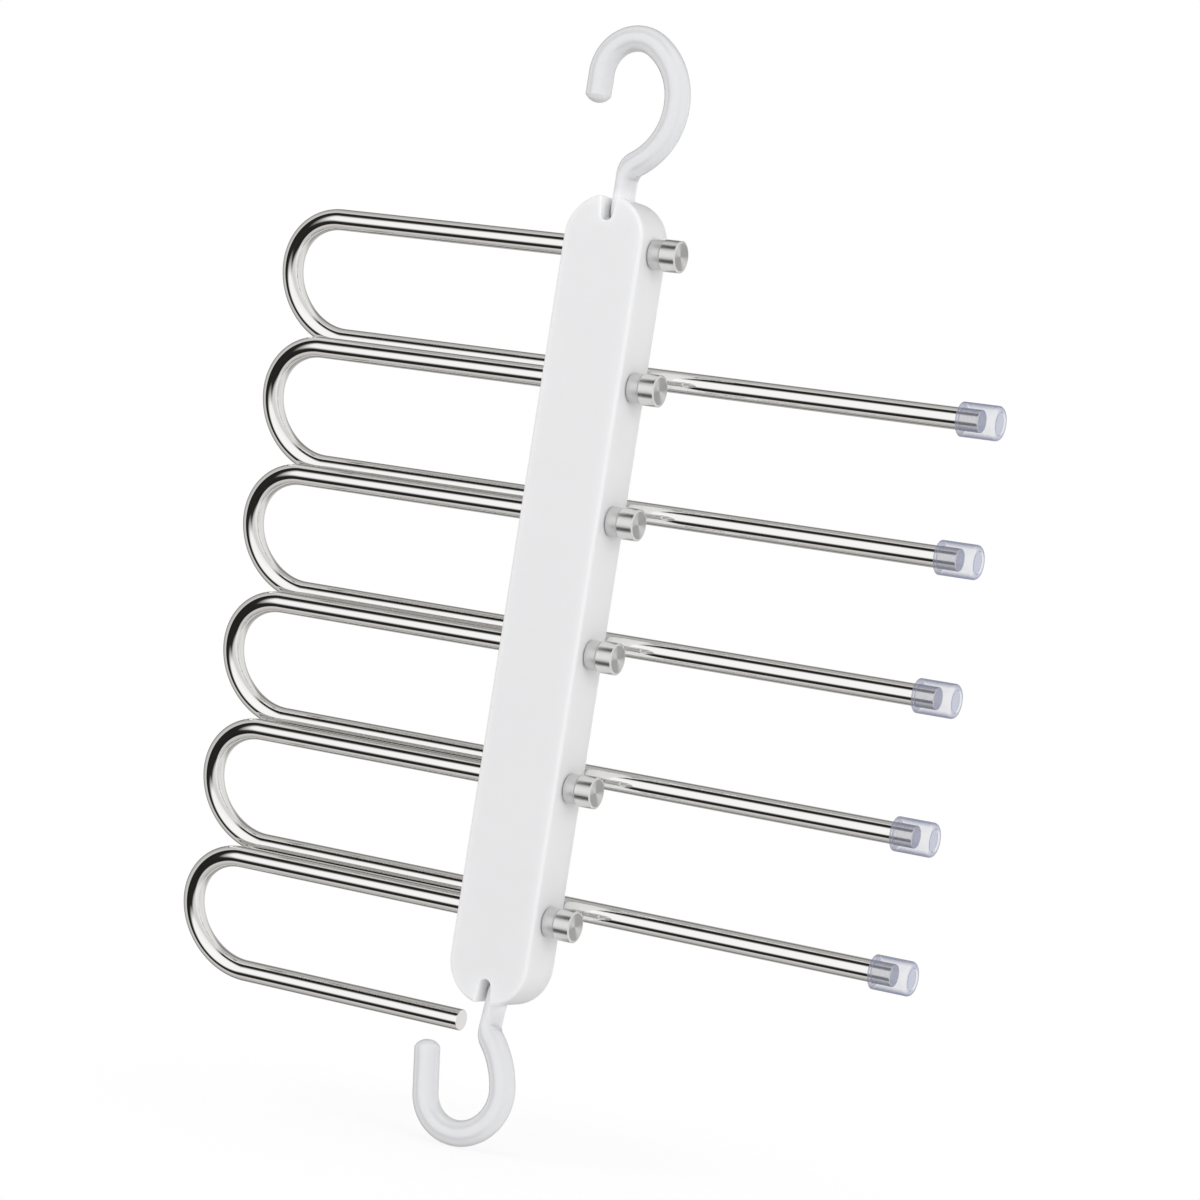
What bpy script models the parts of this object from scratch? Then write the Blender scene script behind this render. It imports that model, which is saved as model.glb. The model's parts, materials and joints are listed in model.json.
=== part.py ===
"""Swing-arm trouser hanger: a moulded spine, six U-shaped steel arms hinged through it and two folding hooks.

+Z runs up the spine, +X towards the open ends of the arms, and the spine's front face looks along -Y.
The origin is the point inside the upper hook where a wardrobe rod bears, above the spine's centre line.
An arm turns about its pivot leg, a tube that crosses the spine at mid-depth; its long leg rests behind it.
"""

import math

import bmesh
import bpy
from mathutils import Vector

MM = 0.001

# Clearances
SEAT_GAP = 0.3 * MM  # between pieces that touch
TURN_GAP = 0.3 * MM  # round a piece that turns
REST_GAP = 0.4 * MM  # long leg to the rear cover

# Swing arms, bent from one tube size
ARM_COUNT = 6
ARM_PITCH = 55.0 * MM  # from one pivot to the next
TUBE_DIAMETER = 9.0 * MM
TUBE_WALL = 0.8 * MM
TUBE_END_WALL = 1.2 * MM  # the leg's far end is closed
TUBE_END_ROUND = 0.5 * MM
LEG_RISE = 5.5 * MM  # a long leg lies this far above the next pivot
BEND_REACH = 163.0 * MM  # outside of the U-bend to the spine's centre plane
LEG_REACH = 165.2 * MM  # closed end of a long leg to the centre plane
SHORT_LEG_GAP = 5.0 * MM  # closed end of the last arm's leg to the spine's side
SWING_RANGE = math.radians(90.0)  # set by the collar's lug

# Spine: a front shell and a rear cover that drops into its rim
SPINE_WIDTH = 36.5 * MM
SPINE_DEPTH = 23.0 * MM
SPINE_ABOVE = 21.3 * MM  # spine's upper end to the first pivot
SPINE_BELOW = 37.8 * MM  # last pivot to the spine's lower end
SHELL_WALL = 2.4 * MM
FRONT_FILLET = 1.4 * MM
REAR_CHAMFER = 0.4 * MM
RIM_WALL = 1.2 * MM  # shell round the cover
COVER_THICKNESS = 2.4 * MM
BOSS_WALL = 2.2 * MM  # round each pivot bore
LEFT_BOSS = 4.0 * MM  # bearing length inside the left wall
RIGHT_BOSS = 1.2 * MM  # thrust face inside the right wall
RIB_THICKNESS = 1.6 * MM
RIB_HEIGHT = 9.0 * MM

# Knob, spacer and collar that hold each pivot leg endways
SPACER_DIAMETER = 12.3 * MM
SPACER_LENGTH = 5.3 * MM
SPACER_CHAMFER = 0.4 * MM
KNOB_DIAMETER = 13.2 * MM
KNOB_LENGTH = 7.2 * MM
KNOB_CHAMFER = 0.5 * MM
KNOB_DISH = 0.5 * MM  # shallow cone in the end face
SPIGOT_LENGTH = 9.0 * MM
COLLAR_WALL = 2.0 * MM
COLLAR_LENGTH = 5.0 * MM
LUG_WIDTH = 3.0 * MM

# End caps of clear soft plastic
CAP_DIAMETER = 14.0 * MM
CAP_GRIP = 8.7 * MM  # length of tube inside a cap
CAP_SOLID = 8.0 * MM  # cap beyond the tube's end
CAP_ROUND = 1.6 * MM
CAP_DISH_DIAMETER = 8.6 * MM
CAP_DISH = 0.6 * MM

# Folding hooks: a round bar whose root is a flat tongue on a cross pin
BAR_DIAMETER = 10.7 * MM
TONGUE_THICKNESS = 5.0 * MM
TONGUE_BLEND = 7.0 * MM  # length over which the tongue turns into the bar
TONGUE_POWER = 0.6  # how square the tongue's section is: 1 is an ellipse
TIP_ROUND = 3.0 * MM
PIN_DIAMETER = 3.0 * MM
PIN_LENGTH = 14.0 * MM
PIN_INSET = 5.0 * MM  # pin axis inside the spine's end
SLOT_FLARE = 1.2 * MM  # a slot's half width grows by this towards the spine's end
CRADLE_WALL = 1.8 * MM

# Each hook from its tongue: short shank, neck arc, wide side arc, arch arc and straight tip
UPPER_HOOK = {
    "shank": 0.22 * MM,
    "neck_radius": 9.0 * MM,
    "side_radius": 28.6 * MM,
    "side_turn": math.radians(117.4),
    "arch_radius": 15.3 * MM,
    "arch_turn": math.radians(121.9),
    "tip": 12.0 * MM,
    "tip_splay": 0.0,  # how far the tip leans out from the shank's direction
}
LOWER_HOOK = {
    "shank": 0.7 * MM,
    "neck_radius": 9.0 * MM,
    "side_radius": 41.2 * MM,
    "side_turn": math.radians(29.9),
    "arch_radius": 17.7 * MM,
    "arch_turn": math.radians(181.3),
    "tip": 21.0 * MM,
    "tip_splay": math.radians(13.0),
}
LOWER_HOOK_FOLD = math.radians(10.0)  # it stands a little forward

# Screws that hold the rear cover
SCREW_DIAMETER = 2.4 * MM
SCREW_LENGTH = 10.0 * MM  # under the head
SCREW_HEAD_DIAMETER = 5.2 * MM
SCREW_HEAD_HEIGHT = 1.0 * MM
SCREW_BOSS_WALL = 2.1 * MM
SCREW_FREE_BAY = ARM_COUNT // 2 - 1  # of the bays between pivots, the middle one has no screw

# Facets
TUBE_SIDES = 14
TUBE_BEND_STEPS = 13
BORE_BEND_STEPS = 8
SPINE_END_STEPS = 12
BORE_SIDES = 18
SMALL_SIDES = 12
BAR_STEP = math.radians(16.0)  # most that a hook's bar turns from ring to ring

# Sizes that follow from the ones above
TUBE_RADIUS = TUBE_DIAMETER / 2
BAR_RADIUS = BAR_DIAMETER / 2
HALF_WIDTH = SPINE_WIDTH / 2
HALF_DEPTH = SPINE_DEPTH / 2
INNER_HALF_WIDTH = HALF_WIDTH - SHELL_WALL
FRONT_INSIDE_Y = SHELL_WALL - HALF_DEPTH
REAR_INSIDE_Y = HALF_DEPTH - COVER_THICKNESS
LEG_REAR = HALF_DEPTH + TUBE_RADIUS + REST_GAP
LEG_DROP = ARM_PITCH - LEG_RISE
LEAN = math.atan2(LEG_REAR, LEG_DROP)
LEG_OFFSET = math.hypot(LEG_REAR, LEG_DROP)
BEND_RADIUS = LEG_OFFSET / 2
BEND_X = -(BEND_REACH - TUBE_RADIUS - BEND_RADIUS)
SPACER_X = HALF_WIDTH + SEAT_GAP
PIVOT_END_X = SPACER_X + SPACER_LENGTH
COLLAR_X = INNER_HALF_WIDTH - RIGHT_BOSS - SEAT_GAP
SHORT_LEG_REACH = -(HALF_WIDTH + SHORT_LEG_GAP)
SLOT_HALF_WIDTH = TONGUE_THICKNESS / 2 + TURN_GAP
ROOT_CLEAR = BAR_RADIUS + TURN_GAP
TONGUE_REACH = HALF_DEPTH + TURN_GAP  # flat length that passes the slot when folded

X = Vector((1.0, 0.0, 0.0))
Y = Vector((0.0, 1.0, 0.0))
Z = Vector((0.0, 0.0, 1.0))


# Meshes and objects


def skin(bm, rings, cyclic=False):
    """Adds a closed surface over rings of equal length, with end caps unless it is cyclic."""
    loops = [[bm.verts.new(point) for point in ring] for ring in rings]
    pairs = list(zip(loops, loops[1:]))
    if cyclic:
        pairs.append((loops[-1], loops[0]))
    else:
        bm.faces.new(loops[0])
        bm.faces.new(loops[-1])
    for near, far in pairs:
        for i in range(len(near)):
            j = (i + 1) % len(near)
            bm.faces.new((near[i], near[j], far[j], far[i]))


def ring_of(centre, first, second, radius, sides):
    """A regular polygon round centre in the plane of the directions first and second."""
    turns = [2 * math.pi * k / sides for k in range(sides)]
    return [centre + radius * (math.cos(t) * first + math.sin(t) * second) for t in turns]


def lathe(bm, profile, start, along, first, second, sides, cyclic=False):
    """Turns a profile of (distance, radius) pairs about the line from start along a direction."""
    rings = [ring_of(start + d * along, first, second, r, sides) for d, r in profile]
    skin(bm, rings, cyclic)


def lathe_x(bm, profile, sides=TUBE_SIDES, cyclic=False):
    """Turns (x, radius) pairs about the X axis."""
    lathe(bm, profile, Vector(), X, Z, Y, sides, cyclic)


def lathe_y(bm, profile, x, z, sides=SMALL_SIDES):
    """Turns (y, radius) pairs about the line through x and z that runs along Y."""
    lathe(bm, profile, Vector((x, 0.0, z)), Y, X, Z, sides)


def prism(bm, outline, along, low, high):
    """Extrudes an outline of points from low to high along a direction."""
    skin(bm, [[p + low * along for p in outline], [p + high * along for p in outline]])


def circumscribed(radius, sides):
    """Radius of a polygon whose flats, not its corners, lie at the given radius."""
    return radius / math.cos(math.pi / sides)


def make_material(name, colour, metallic, roughness):
    """A Principled BSDF material."""
    material = bpy.data.materials.new(name)
    material.use_nodes = True
    shader = material.node_tree.nodes["Principled BSDF"]
    shader.inputs["Base Color"].default_value = (*colour, 1.0)
    shader.inputs["Metallic"].default_value = metallic
    shader.inputs["Roughness"].default_value = roughness
    return material


def make_object(name, bm, material=None, parent=None):
    """Turns a bmesh into a named, smooth-shaded object with its faces pointing out."""
    bmesh.ops.recalc_face_normals(bm, faces=bm.faces)
    mesh = bpy.data.meshes.new(name)
    bm.to_mesh(mesh)
    bm.free()
    mesh.shade_smooth()
    mesh.set_sharp_from_angle(angle=math.radians(35.0))
    if material:
        mesh.materials.append(material)
    obj = bpy.data.objects.new(name, mesh)
    bpy.context.scene.collection.objects.link(obj)
    obj.parent = parent
    return obj


def combine(target, name, bm, operation):
    """Adds or cuts a shape made about the target's origin, with an exact Boolean modifier, and hides it."""
    tool = make_object(name, bm)
    tool.location = target.location
    tool.rotation_euler = target.rotation_euler
    tool.hide_render = True
    tool.display_type = "WIRE"
    modifier = target.modifiers.new(name, "BOOLEAN")
    modifier.operation = operation
    modifier.solver = "EXACT"
    modifier.object = tool


def make_pivot(name, location, tilt):
    """An empty on a joint's axis, tilted about X."""
    empty = bpy.data.objects.new(name, None)
    bpy.context.scene.collection.objects.link(empty)
    empty.location = location
    empty.rotation_euler = (tilt, 0.0, 0.0)
    return empty


# Hooks


def hook_route(hook):
    """Points, headings and arch centre of a hook's centre line in its own plane, from the pin to the tip.

    The first coordinate runs along +X and the second away from the spine. The neck arc turns right by what
    the side and arch arcs turn left beyond a half turn, and by the tip's splay.
    """
    neck_turn = hook["side_turn"] + hook["arch_turn"] + hook["tip_splay"] - math.pi
    moves = (
        (0.0, TONGUE_REACH + hook["shank"]),
        (-hook["neck_radius"], neck_turn),
        (hook["side_radius"], hook["side_turn"]),
        (hook["arch_radius"], hook["arch_turn"]),
        (0.0, hook["tip"] - TIP_ROUND),
    )
    route = [(Vector((0.0, 0.0)), math.pi / 2)]
    for radius, amount in moves:
        start, begin = route[-1]
        if not radius:
            route.append((start + amount * Vector((math.cos(begin), math.sin(begin))), begin))
            continue
        steps = max(1, math.ceil(amount / BAR_STEP))
        centre = start + radius * Vector((-math.sin(begin), math.cos(begin)))
        for k in range(1, steps + 1):
            heading = begin + math.copysign(amount, radius) * k / steps
            route.append((centre - radius * Vector((-math.sin(heading), math.cos(heading))), heading))
    return route, centre


def seat_height(hook):
    """Height above the pin of the inside of the arch, straight above the shank."""
    arch_centre = hook_route(hook)[1]
    inside = hook["arch_radius"] - BAR_RADIUS
    return arch_centre.y + math.sqrt(inside**2 - arch_centre.x**2)


def hook_section(point, heading, half_thick, half_wide, power):
    """A ring across a hook's bar: an ellipse at power 1, and squarer as power falls."""
    across = Vector((-math.sin(heading), 0.0, math.cos(heading)))
    centre = Vector((point.x, 0.0, point.y))
    ring = []
    for k in range(TUBE_SIDES):
        turn = 2 * math.pi * k / TUBE_SIDES
        c = math.copysign(abs(math.cos(turn)) ** power, math.cos(turn))
        s = math.copysign(abs(math.sin(turn)) ** power, math.sin(turn))
        ring.append(centre + half_thick * c * across + half_wide * s * Y)
    return ring


def hook_rings(hook):
    """Rings from the root, along the flat tongue and the bar to the rounded tip.

    The root is the tongue's section turned about the pin, so that it clears the slot's foot at every fold.
    """
    flat = TONGUE_THICKNESS / 2
    route = hook_route(hook)[0]
    flat_end = route[1][0].y
    upright = math.pi / 2
    rings = []
    for turn in (0.2, 0.5, 0.8, 1.1, 1.4):
        spot = Vector((0.0, -BAR_RADIUS * math.cos(turn)))
        thick = flat * (1 - math.cos(turn) ** (2 / TONGUE_POWER)) ** (TONGUE_POWER / 2)
        rings.append(hook_section(spot, upright, thick, BAR_RADIUS * math.sin(turn), TONGUE_POWER))
    rings.append(hook_section(Vector((0.0, BAR_RADIUS)), upright, flat, BAR_RADIUS, TONGUE_POWER))
    for point, heading in route[1:]:
        share = min(1.0, max(0.0, (point.y - flat_end) / TONGUE_BLEND))
        share *= share * (3 - 2 * share)
        thick = flat + (BAR_RADIUS - flat) * share
        power = TONGUE_POWER + (1 - TONGUE_POWER) * share
        rings.append(hook_section(point, heading, thick, BAR_RADIUS, power))
    point, heading = route[-1]
    ahead = Vector((math.cos(heading), math.sin(heading)))
    for turn in (0.4, 0.8, 1.2, 1.5):
        spot = point + TIP_ROUND * math.sin(turn) * ahead
        radius = BAR_RADIUS - TIP_ROUND * (1 - math.cos(turn))
        rings.append(hook_section(spot, heading, radius, radius, 1.0))
    return rings


def make_hook(name, hook, location, tilt, material):
    """One folding hook with the hole for its pin; the joint's axis is X through the object's origin."""
    bm = bmesh.new()
    skin(bm, hook_rings(hook))
    obj = make_object(name, bm, material)
    obj.location = location
    obj.rotation_euler = (tilt, 0.0, 0.0)
    hole = bmesh.new()
    hole_radius = circumscribed(PIN_DIAMETER / 2 + TURN_GAP, SMALL_SIDES)
    lathe_x(hole, [(-BAR_RADIUS, hole_radius), (BAR_RADIUS, hole_radius)], SMALL_SIDES)
    combine(obj, name + "_hole", hole, "DIFFERENCE")


def make_pin(name, pin_z, material):
    """Steel cross pin of a hook, with its ends held in the cradle."""
    bm = bmesh.new()
    reach = PIN_LENGTH / 2
    edge = PIN_DIAMETER / 10
    profile = [(-reach, PIN_DIAMETER / 2 - edge), (edge - reach, PIN_DIAMETER / 2)]
    profile += [(reach - edge, PIN_DIAMETER / 2), (reach, PIN_DIAMETER / 2 - edge)]
    lathe_x(bm, profile, SMALL_SIDES)
    obj = make_object(name, bm, material)
    obj.location = (0.0, 0.0, pin_z)


# Places down the spine, from the rod's seat in the upper hook

UPPER_PIN_Z = -seat_height(UPPER_HOOK)
SPINE_TOP = UPPER_PIN_Z + PIN_INSET
PIVOTS_Z = [SPINE_TOP - SPINE_ABOVE - n * ARM_PITCH for n in range(ARM_COUNT)]
SPINE_BOTTOM = PIVOTS_Z[-1] - SPINE_BELOW
LOWER_PIN_Z = SPINE_BOTTOM + PIN_INSET
SCREWS_Z = [PIVOTS_Z[bay] - ARM_PITCH / 2 for bay in range(ARM_COUNT - 1) if bay != SCREW_FREE_BAY]
SPINE_ENDS = ((UPPER_PIN_Z, 1.0), (LOWER_PIN_Z, -1.0))


# Spine


def outline(inset, y):
    """The spine's outline at a depth, drawn in by inset: a half circle at each end and straight sides."""
    radius = HALF_WIDTH - inset
    ring = []
    for centre_z, start in ((SPINE_TOP - HALF_WIDTH, 0.0), (SPINE_BOTTOM + HALF_WIDTH, math.pi)):
        for k in range(SPINE_END_STEPS + 1):
            turn = start + math.pi * k / SPINE_END_STEPS
            ring.append(Vector((radius * math.cos(turn), y, centre_z + radius * math.sin(turn))))
    return ring


def shell_profile():
    """(inset, y) pairs from the front face round the outside, over the rim and into the cavity."""
    front = []
    for turn in (math.pi / 2, math.pi / 3, math.pi / 6, 0.0):
        inset = FRONT_FILLET * (1 - math.cos(turn))
        front.append((inset, FRONT_FILLET * (1 - math.sin(turn)) - HALF_DEPTH))
    ledge_y = REAR_INSIDE_Y - SEAT_GAP
    rear = [(0.0, HALF_DEPTH - REAR_CHAMFER), (REAR_CHAMFER, HALF_DEPTH), (RIM_WALL, HALF_DEPTH)]
    inside = [(RIM_WALL, ledge_y), (SHELL_WALL, ledge_y), (SHELL_WALL, FRONT_INSIDE_Y)]
    return front + rear + inside


def add_cradle(bm, pin_z, up):
    """A block in the spine's end that holds a hook's pin; its outer edge follows the round end."""
    half = PIN_LENGTH / 2 + SEAT_GAP + CRADLE_WALL
    bite = SEAT_GAP
    radius = INNER_HALF_WIDTH + bite
    centre_z = pin_z + up * (PIN_INSET - HALF_WIDTH)
    reach = math.asin(half / radius)
    points = []
    for k in range(7):
        turn = reach * (k / 3 - 1)
        points.append(Vector((radius * math.sin(turn), 0.0, centre_z + up * radius * math.cos(turn))))
    foot_z = pin_z - up * (ROOT_CLEAR + CRADLE_WALL)
    points += [Vector((half, 0.0, foot_z)), Vector((-half, 0.0, foot_z))]
    prism(bm, points, Y, FRONT_INSIDE_Y - bite, ROOT_CLEAR + CRADLE_WALL / 2)


def add_slot(bm, pin_z, up):
    """The slot that a hook's tongue folds through: round at its foot, and wider towards the spine's end."""
    foot_centre = pin_z - up * (ROOT_CLEAR - SLOT_HALF_WIDTH)
    points = []
    for k in range(9):
        turn = math.pi * (1 + k / 8)
        dip = up * SLOT_HALF_WIDTH * math.sin(turn)
        points.append(Vector((SLOT_HALF_WIDTH * math.cos(turn), 0.0, foot_centre + dip)))
    end_z = pin_z + up * (PIN_INSET + SHELL_WALL)
    half = SLOT_HALF_WIDTH + SLOT_FLARE
    points += [Vector((half, 0.0, end_z)), Vector((-half, 0.0, end_z))]
    prism(bm, points, Y, -HALF_DEPTH - SHELL_WALL, ROOT_CLEAR)


def add_saddle(bm, pin_z):
    """The groove, open to the rear, that a hook's pin drops into."""
    half = circumscribed(PIN_DIAMETER / 2 + SEAT_GAP, SMALL_SIDES)
    points = []
    for k in range(7):
        turn = math.pi * (1 + k / 6)
        points.append(Vector((0.0, half * math.sin(turn), pin_z + half * math.cos(turn))))
    rear = REAR_INSIDE_Y * Y
    points += [rear + (pin_z + half) * Z, rear + (pin_z - half) * Z]
    reach = PIN_LENGTH / 2 + SEAT_GAP
    prism(bm, points, X, -reach, reach)


def add_bore_bosses(bm, pivot_z):
    """Raised rings round a pivot bore, inside the left and the right wall."""
    radius = TUBE_RADIUS + TURN_GAP + BOSS_WALL
    wall = INNER_HALF_WIDTH + SHELL_WALL / 4
    for low, high in ((-wall, LEFT_BOSS - INNER_HALF_WIDTH), (INNER_HALF_WIDTH - RIGHT_BOSS, wall)):
        lathe(bm, [(low, radius), (high, radius)], pivot_z * Z, X, Z, Y, TUBE_SIDES)


def add_screw_boss(bm, z):
    """The pillar that a cover screw bites into."""
    radius = SCREW_DIAMETER / 2 + SEAT_GAP + SCREW_BOSS_WALL
    lathe_y(bm, [(FRONT_INSIDE_Y - SEAT_GAP, radius), (REAR_INSIDE_Y - SEAT_GAP, radius)], 0.0, z)


def add_cross_rib(bm, z):
    """A rib from side wall to side wall behind the front face."""
    half = INNER_HALF_WIDTH + SEAT_GAP
    low = z - RIB_THICKNESS / 2
    points = [Vector((-half, 0.0, low)), Vector((half, 0.0, low))]
    points += [p + RIB_THICKNESS * Z for p in reversed(points)]
    prism(bm, points, Y, FRONT_INSIDE_Y - SEAT_GAP, FRONT_INSIDE_Y + RIB_HEIGHT)


def make_front_shell(material):
    """The moulded shell, with cradles, bosses and ribs in its cavity, then bored and slotted."""
    bm = bmesh.new()
    skin(bm, [outline(inset, y) for inset, y in shell_profile()])
    shell = make_object("front_shell", bm, material)

    ribs = bmesh.new()
    for z in SCREWS_Z:
        add_cross_rib(ribs, z)
    for pin_z, up in SPINE_ENDS:
        add_cradle(ribs, pin_z, up)
    for pivot_z in PIVOTS_Z:
        add_bore_bosses(ribs, pivot_z)
    combine(shell, "shell_ribs", ribs, "UNION")

    pillars = bmesh.new()
    for z in SCREWS_Z:
        add_screw_boss(pillars, z)
    combine(shell, "shell_pillars", pillars, "UNION")

    bores = bmesh.new()
    bore = circumscribed(TUBE_RADIUS + TURN_GAP, BORE_SIDES)
    through = HALF_WIDTH + SHELL_WALL
    for pivot_z in PIVOTS_Z:
        lathe(bores, [(-through, bore), (through, bore)], pivot_z * Z, X, Z, Y, BORE_SIDES)
    hole = circumscribed(SCREW_DIAMETER / 2 + SEAT_GAP, SMALL_SIDES)
    deep = screw_tip_y() - SEAT_GAP
    for z in SCREWS_Z:
        lathe_y(bores, [(deep, hole), (REAR_INSIDE_Y, hole)], 0.0, z)
    combine(shell, "shell_bores", bores, "DIFFERENCE")

    slots = bmesh.new()
    for pin_z, up in SPINE_ENDS:
        add_slot(slots, pin_z, up)
    combine(shell, "shell_slots", slots, "DIFFERENCE")

    saddles = bmesh.new()
    for pin_z, _ in SPINE_ENDS:
        add_saddle(saddles, pin_z)
    combine(shell, "shell_saddles", saddles, "DIFFERENCE")


def screw_head_y():
    """Underside of a screw's head, sunk below the cover's face."""
    return HALF_DEPTH - SEAT_GAP - SCREW_HEAD_HEIGHT


def screw_tip_y():
    """Point of a screw."""
    return screw_head_y() - SCREW_LENGTH


def add_pin_keeper(bm, pin_z, side):
    """A pad on the cover that closes a saddle over one end of its pin."""
    inner = SLOT_HALF_WIDTH + SLOT_FLARE
    outer = PIN_LENGTH / 2
    half = PIN_DIAMETER / 2
    corners = ((inner, -half), (outer, -half), (outer, half), (inner, half))
    points = [Vector((side * x, 0.0, pin_z + dz)) for x, dz in corners]
    prism(bm, points, Y, half + SEAT_GAP, REAR_INSIDE_Y + SEAT_GAP)


def make_rear_cover(material):
    """The flat cover with its screw holes, and pads that keep the hook pins in their saddles."""
    edge = RIM_WALL + SEAT_GAP
    profile = [(edge, REAR_INSIDE_Y), (edge, HALF_DEPTH - REAR_CHAMFER), (edge + REAR_CHAMFER, HALF_DEPTH)]
    bm = bmesh.new()
    skin(bm, [outline(inset, y) for inset, y in profile])
    cover = make_object("rear_cover", bm, material)

    keepers = bmesh.new()
    for pin_z, _ in SPINE_ENDS:
        for side in (-1.0, 1.0):
            add_pin_keeper(keepers, pin_z, side)
    combine(cover, "cover_keepers", keepers, "UNION")

    holes = bmesh.new()
    hole = circumscribed(SCREW_DIAMETER / 2 + SEAT_GAP, SMALL_SIDES)
    sink = circumscribed(SCREW_HEAD_DIAMETER / 2 + SEAT_GAP, SMALL_SIDES)
    sink_y = screw_head_y() - SEAT_GAP
    for z in SCREWS_Z:
        profile = [(REAR_INSIDE_Y - SHELL_WALL, hole), (sink_y, hole)]
        profile += [(sink_y, sink), (HALF_DEPTH + SHELL_WALL, sink)]
        lathe_y(holes, profile, 0.0, z)
    combine(cover, "cover_holes", holes, "DIFFERENCE")


def make_cover_screw(name, z, material):
    """A pan-head screw, sunk in the cover."""
    bm = bmesh.new()
    head_y = screw_head_y()
    head = SCREW_HEAD_DIAMETER / 2
    shank = SCREW_DIAMETER / 2
    profile = [(screw_tip_y(), shank / 2), (screw_tip_y() + shank, shank), (head_y, shank), (head_y, head)]
    profile += [(head_y + SCREW_HEAD_HEIGHT / 2, head), (head_y + SCREW_HEAD_HEIGHT, head * 2 / 3)]
    lathe_y(bm, profile, 0.0, z)
    make_object(name, bm, material)


# Swing arms: every piece is made about its pivot leg, with the long leg straight below, then tilted to rest


def arm_stations(leg_end, steps):
    """Ring centres and outward directions along an arm, from the open pivot end round the bend to leg_end."""
    stations = [(PIVOT_END_X * X, Z)]
    for k in range(steps + 1):
        turn = math.pi * k / steps
        outward = math.cos(turn) * Z - math.sin(turn) * X
        stations.append((BEND_X * X - BEND_RADIUS * Z + BEND_RADIUS * outward, outward))
    stations.append((leg_end * X - LEG_OFFSET * Z, -Z))
    return stations


def make_swing_arm(name, leg_end, material, parent):
    """A U of steel tube, hollow from its open pivot end to its closed leg end."""
    outside = arm_stations(leg_end - TUBE_END_ROUND, TUBE_BEND_STEPS)
    inside = arm_stations(leg_end - TUBE_END_WALL, BORE_BEND_STEPS)
    bore = TUBE_RADIUS - TUBE_WALL
    closed_end = leg_end * X - LEG_OFFSET * Z
    rings = [ring_of(closed_end, -Z, Y, TUBE_RADIUS - TUBE_END_ROUND, TUBE_SIDES)]
    rings += [ring_of(c, out, Y, TUBE_RADIUS, TUBE_SIDES) for c, out in reversed(outside)]
    rings += [ring_of(c, out, Y, bore, TUBE_SIDES) for c, out in inside]
    bm = bmesh.new()
    skin(bm, rings)
    make_object(name, bm, material, parent)


def make_knob(name, material, parent):
    """A turned knob whose spigot plugs the open end of the pivot leg."""
    spigot = TUBE_RADIUS - TUBE_WALL - SEAT_GAP
    shoulder = PIVOT_END_X + SEAT_GAP
    face = shoulder + KNOB_LENGTH
    radius = KNOB_DIAMETER / 2
    profile = [
        (PIVOT_END_X - SPIGOT_LENGTH, spigot),
        (shoulder, spigot),
        (shoulder, radius),
        (face - KNOB_CHAMFER, radius),
        (face, radius - KNOB_CHAMFER),
        (face, radius - 2 * KNOB_CHAMFER),
        (face - KNOB_DISH, KNOB_CHAMFER / 2),
    ]
    bm = bmesh.new()
    lathe_x(bm, profile)
    make_object(name, bm, material, parent)


def make_spacer(name, material, parent):
    """A plain ring between the spine and the knob."""
    inner = TUBE_RADIUS + SEAT_GAP
    outer = SPACER_DIAMETER / 2
    start = SPACER_X
    end = PIVOT_END_X
    profile = [(start, inner), (start, outer), (end - SPACER_CHAMFER, outer)]
    profile += [(end, outer - SPACER_CHAMFER), (end, inner)]
    bm = bmesh.new()
    lathe_x(bm, profile, cyclic=True)
    make_object(name, bm, material, parent)


def collar_outline():
    """Outer and inner points of a collar, in pairs: a ring with one lug that points down and forward at rest.

    The lug meets the front wall at rest and the rear cover after the arm's whole swing, so its length follows
    from the cavity's depth and the range.
    """
    outer = TUBE_RADIUS + SEAT_GAP + COLLAR_WALL
    inner = TUBE_RADIUS + SEAT_GAP
    stop = (math.pi - SWING_RANGE) / 2
    room = min(-FRONT_INSIDE_Y, REAR_INSIDE_Y) - TURN_GAP
    reach = (room - LUG_WIDTH / 2 * math.sin(stop)) / math.cos(stop)
    half_root = math.asin(LUG_WIDTH / 2 / outer)
    half_tip = math.atan2(LUG_WIDTH / 2, reach)
    tip = math.hypot(reach, LUG_WIDTH / 2)
    steps = TUBE_SIDES - 3
    spread = (2 * math.pi - 2 * half_root) / steps
    polar = [(half_root + k * spread, outer) for k in range(steps + 1)]
    polar += [(-half_tip, tip), (half_tip, tip)]
    lug_turn = -(math.pi - stop) - LEAN
    pairs = []
    for turn, radius in polar:
        direction = math.cos(turn + lug_turn) * Y + math.sin(turn + lug_turn) * Z
        pairs.append((radius * direction, inner * direction))
    return pairs


def make_collar(name, material, parent):
    """A collar pressed on the pivot leg inside the spine; its lug is the arm's stop both ways."""
    pairs = collar_outline()
    low = (COLLAR_X - COLLAR_LENGTH) * X
    high = COLLAR_X * X
    rings = [[p + low for p, _ in pairs], [p + high for p, _ in pairs]]
    rings += [[q + high for _, q in pairs], [q + low for _, q in pairs]]
    bm = bmesh.new()
    skin(bm, rings, cyclic=True)
    make_object(name, bm, material, parent)


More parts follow.
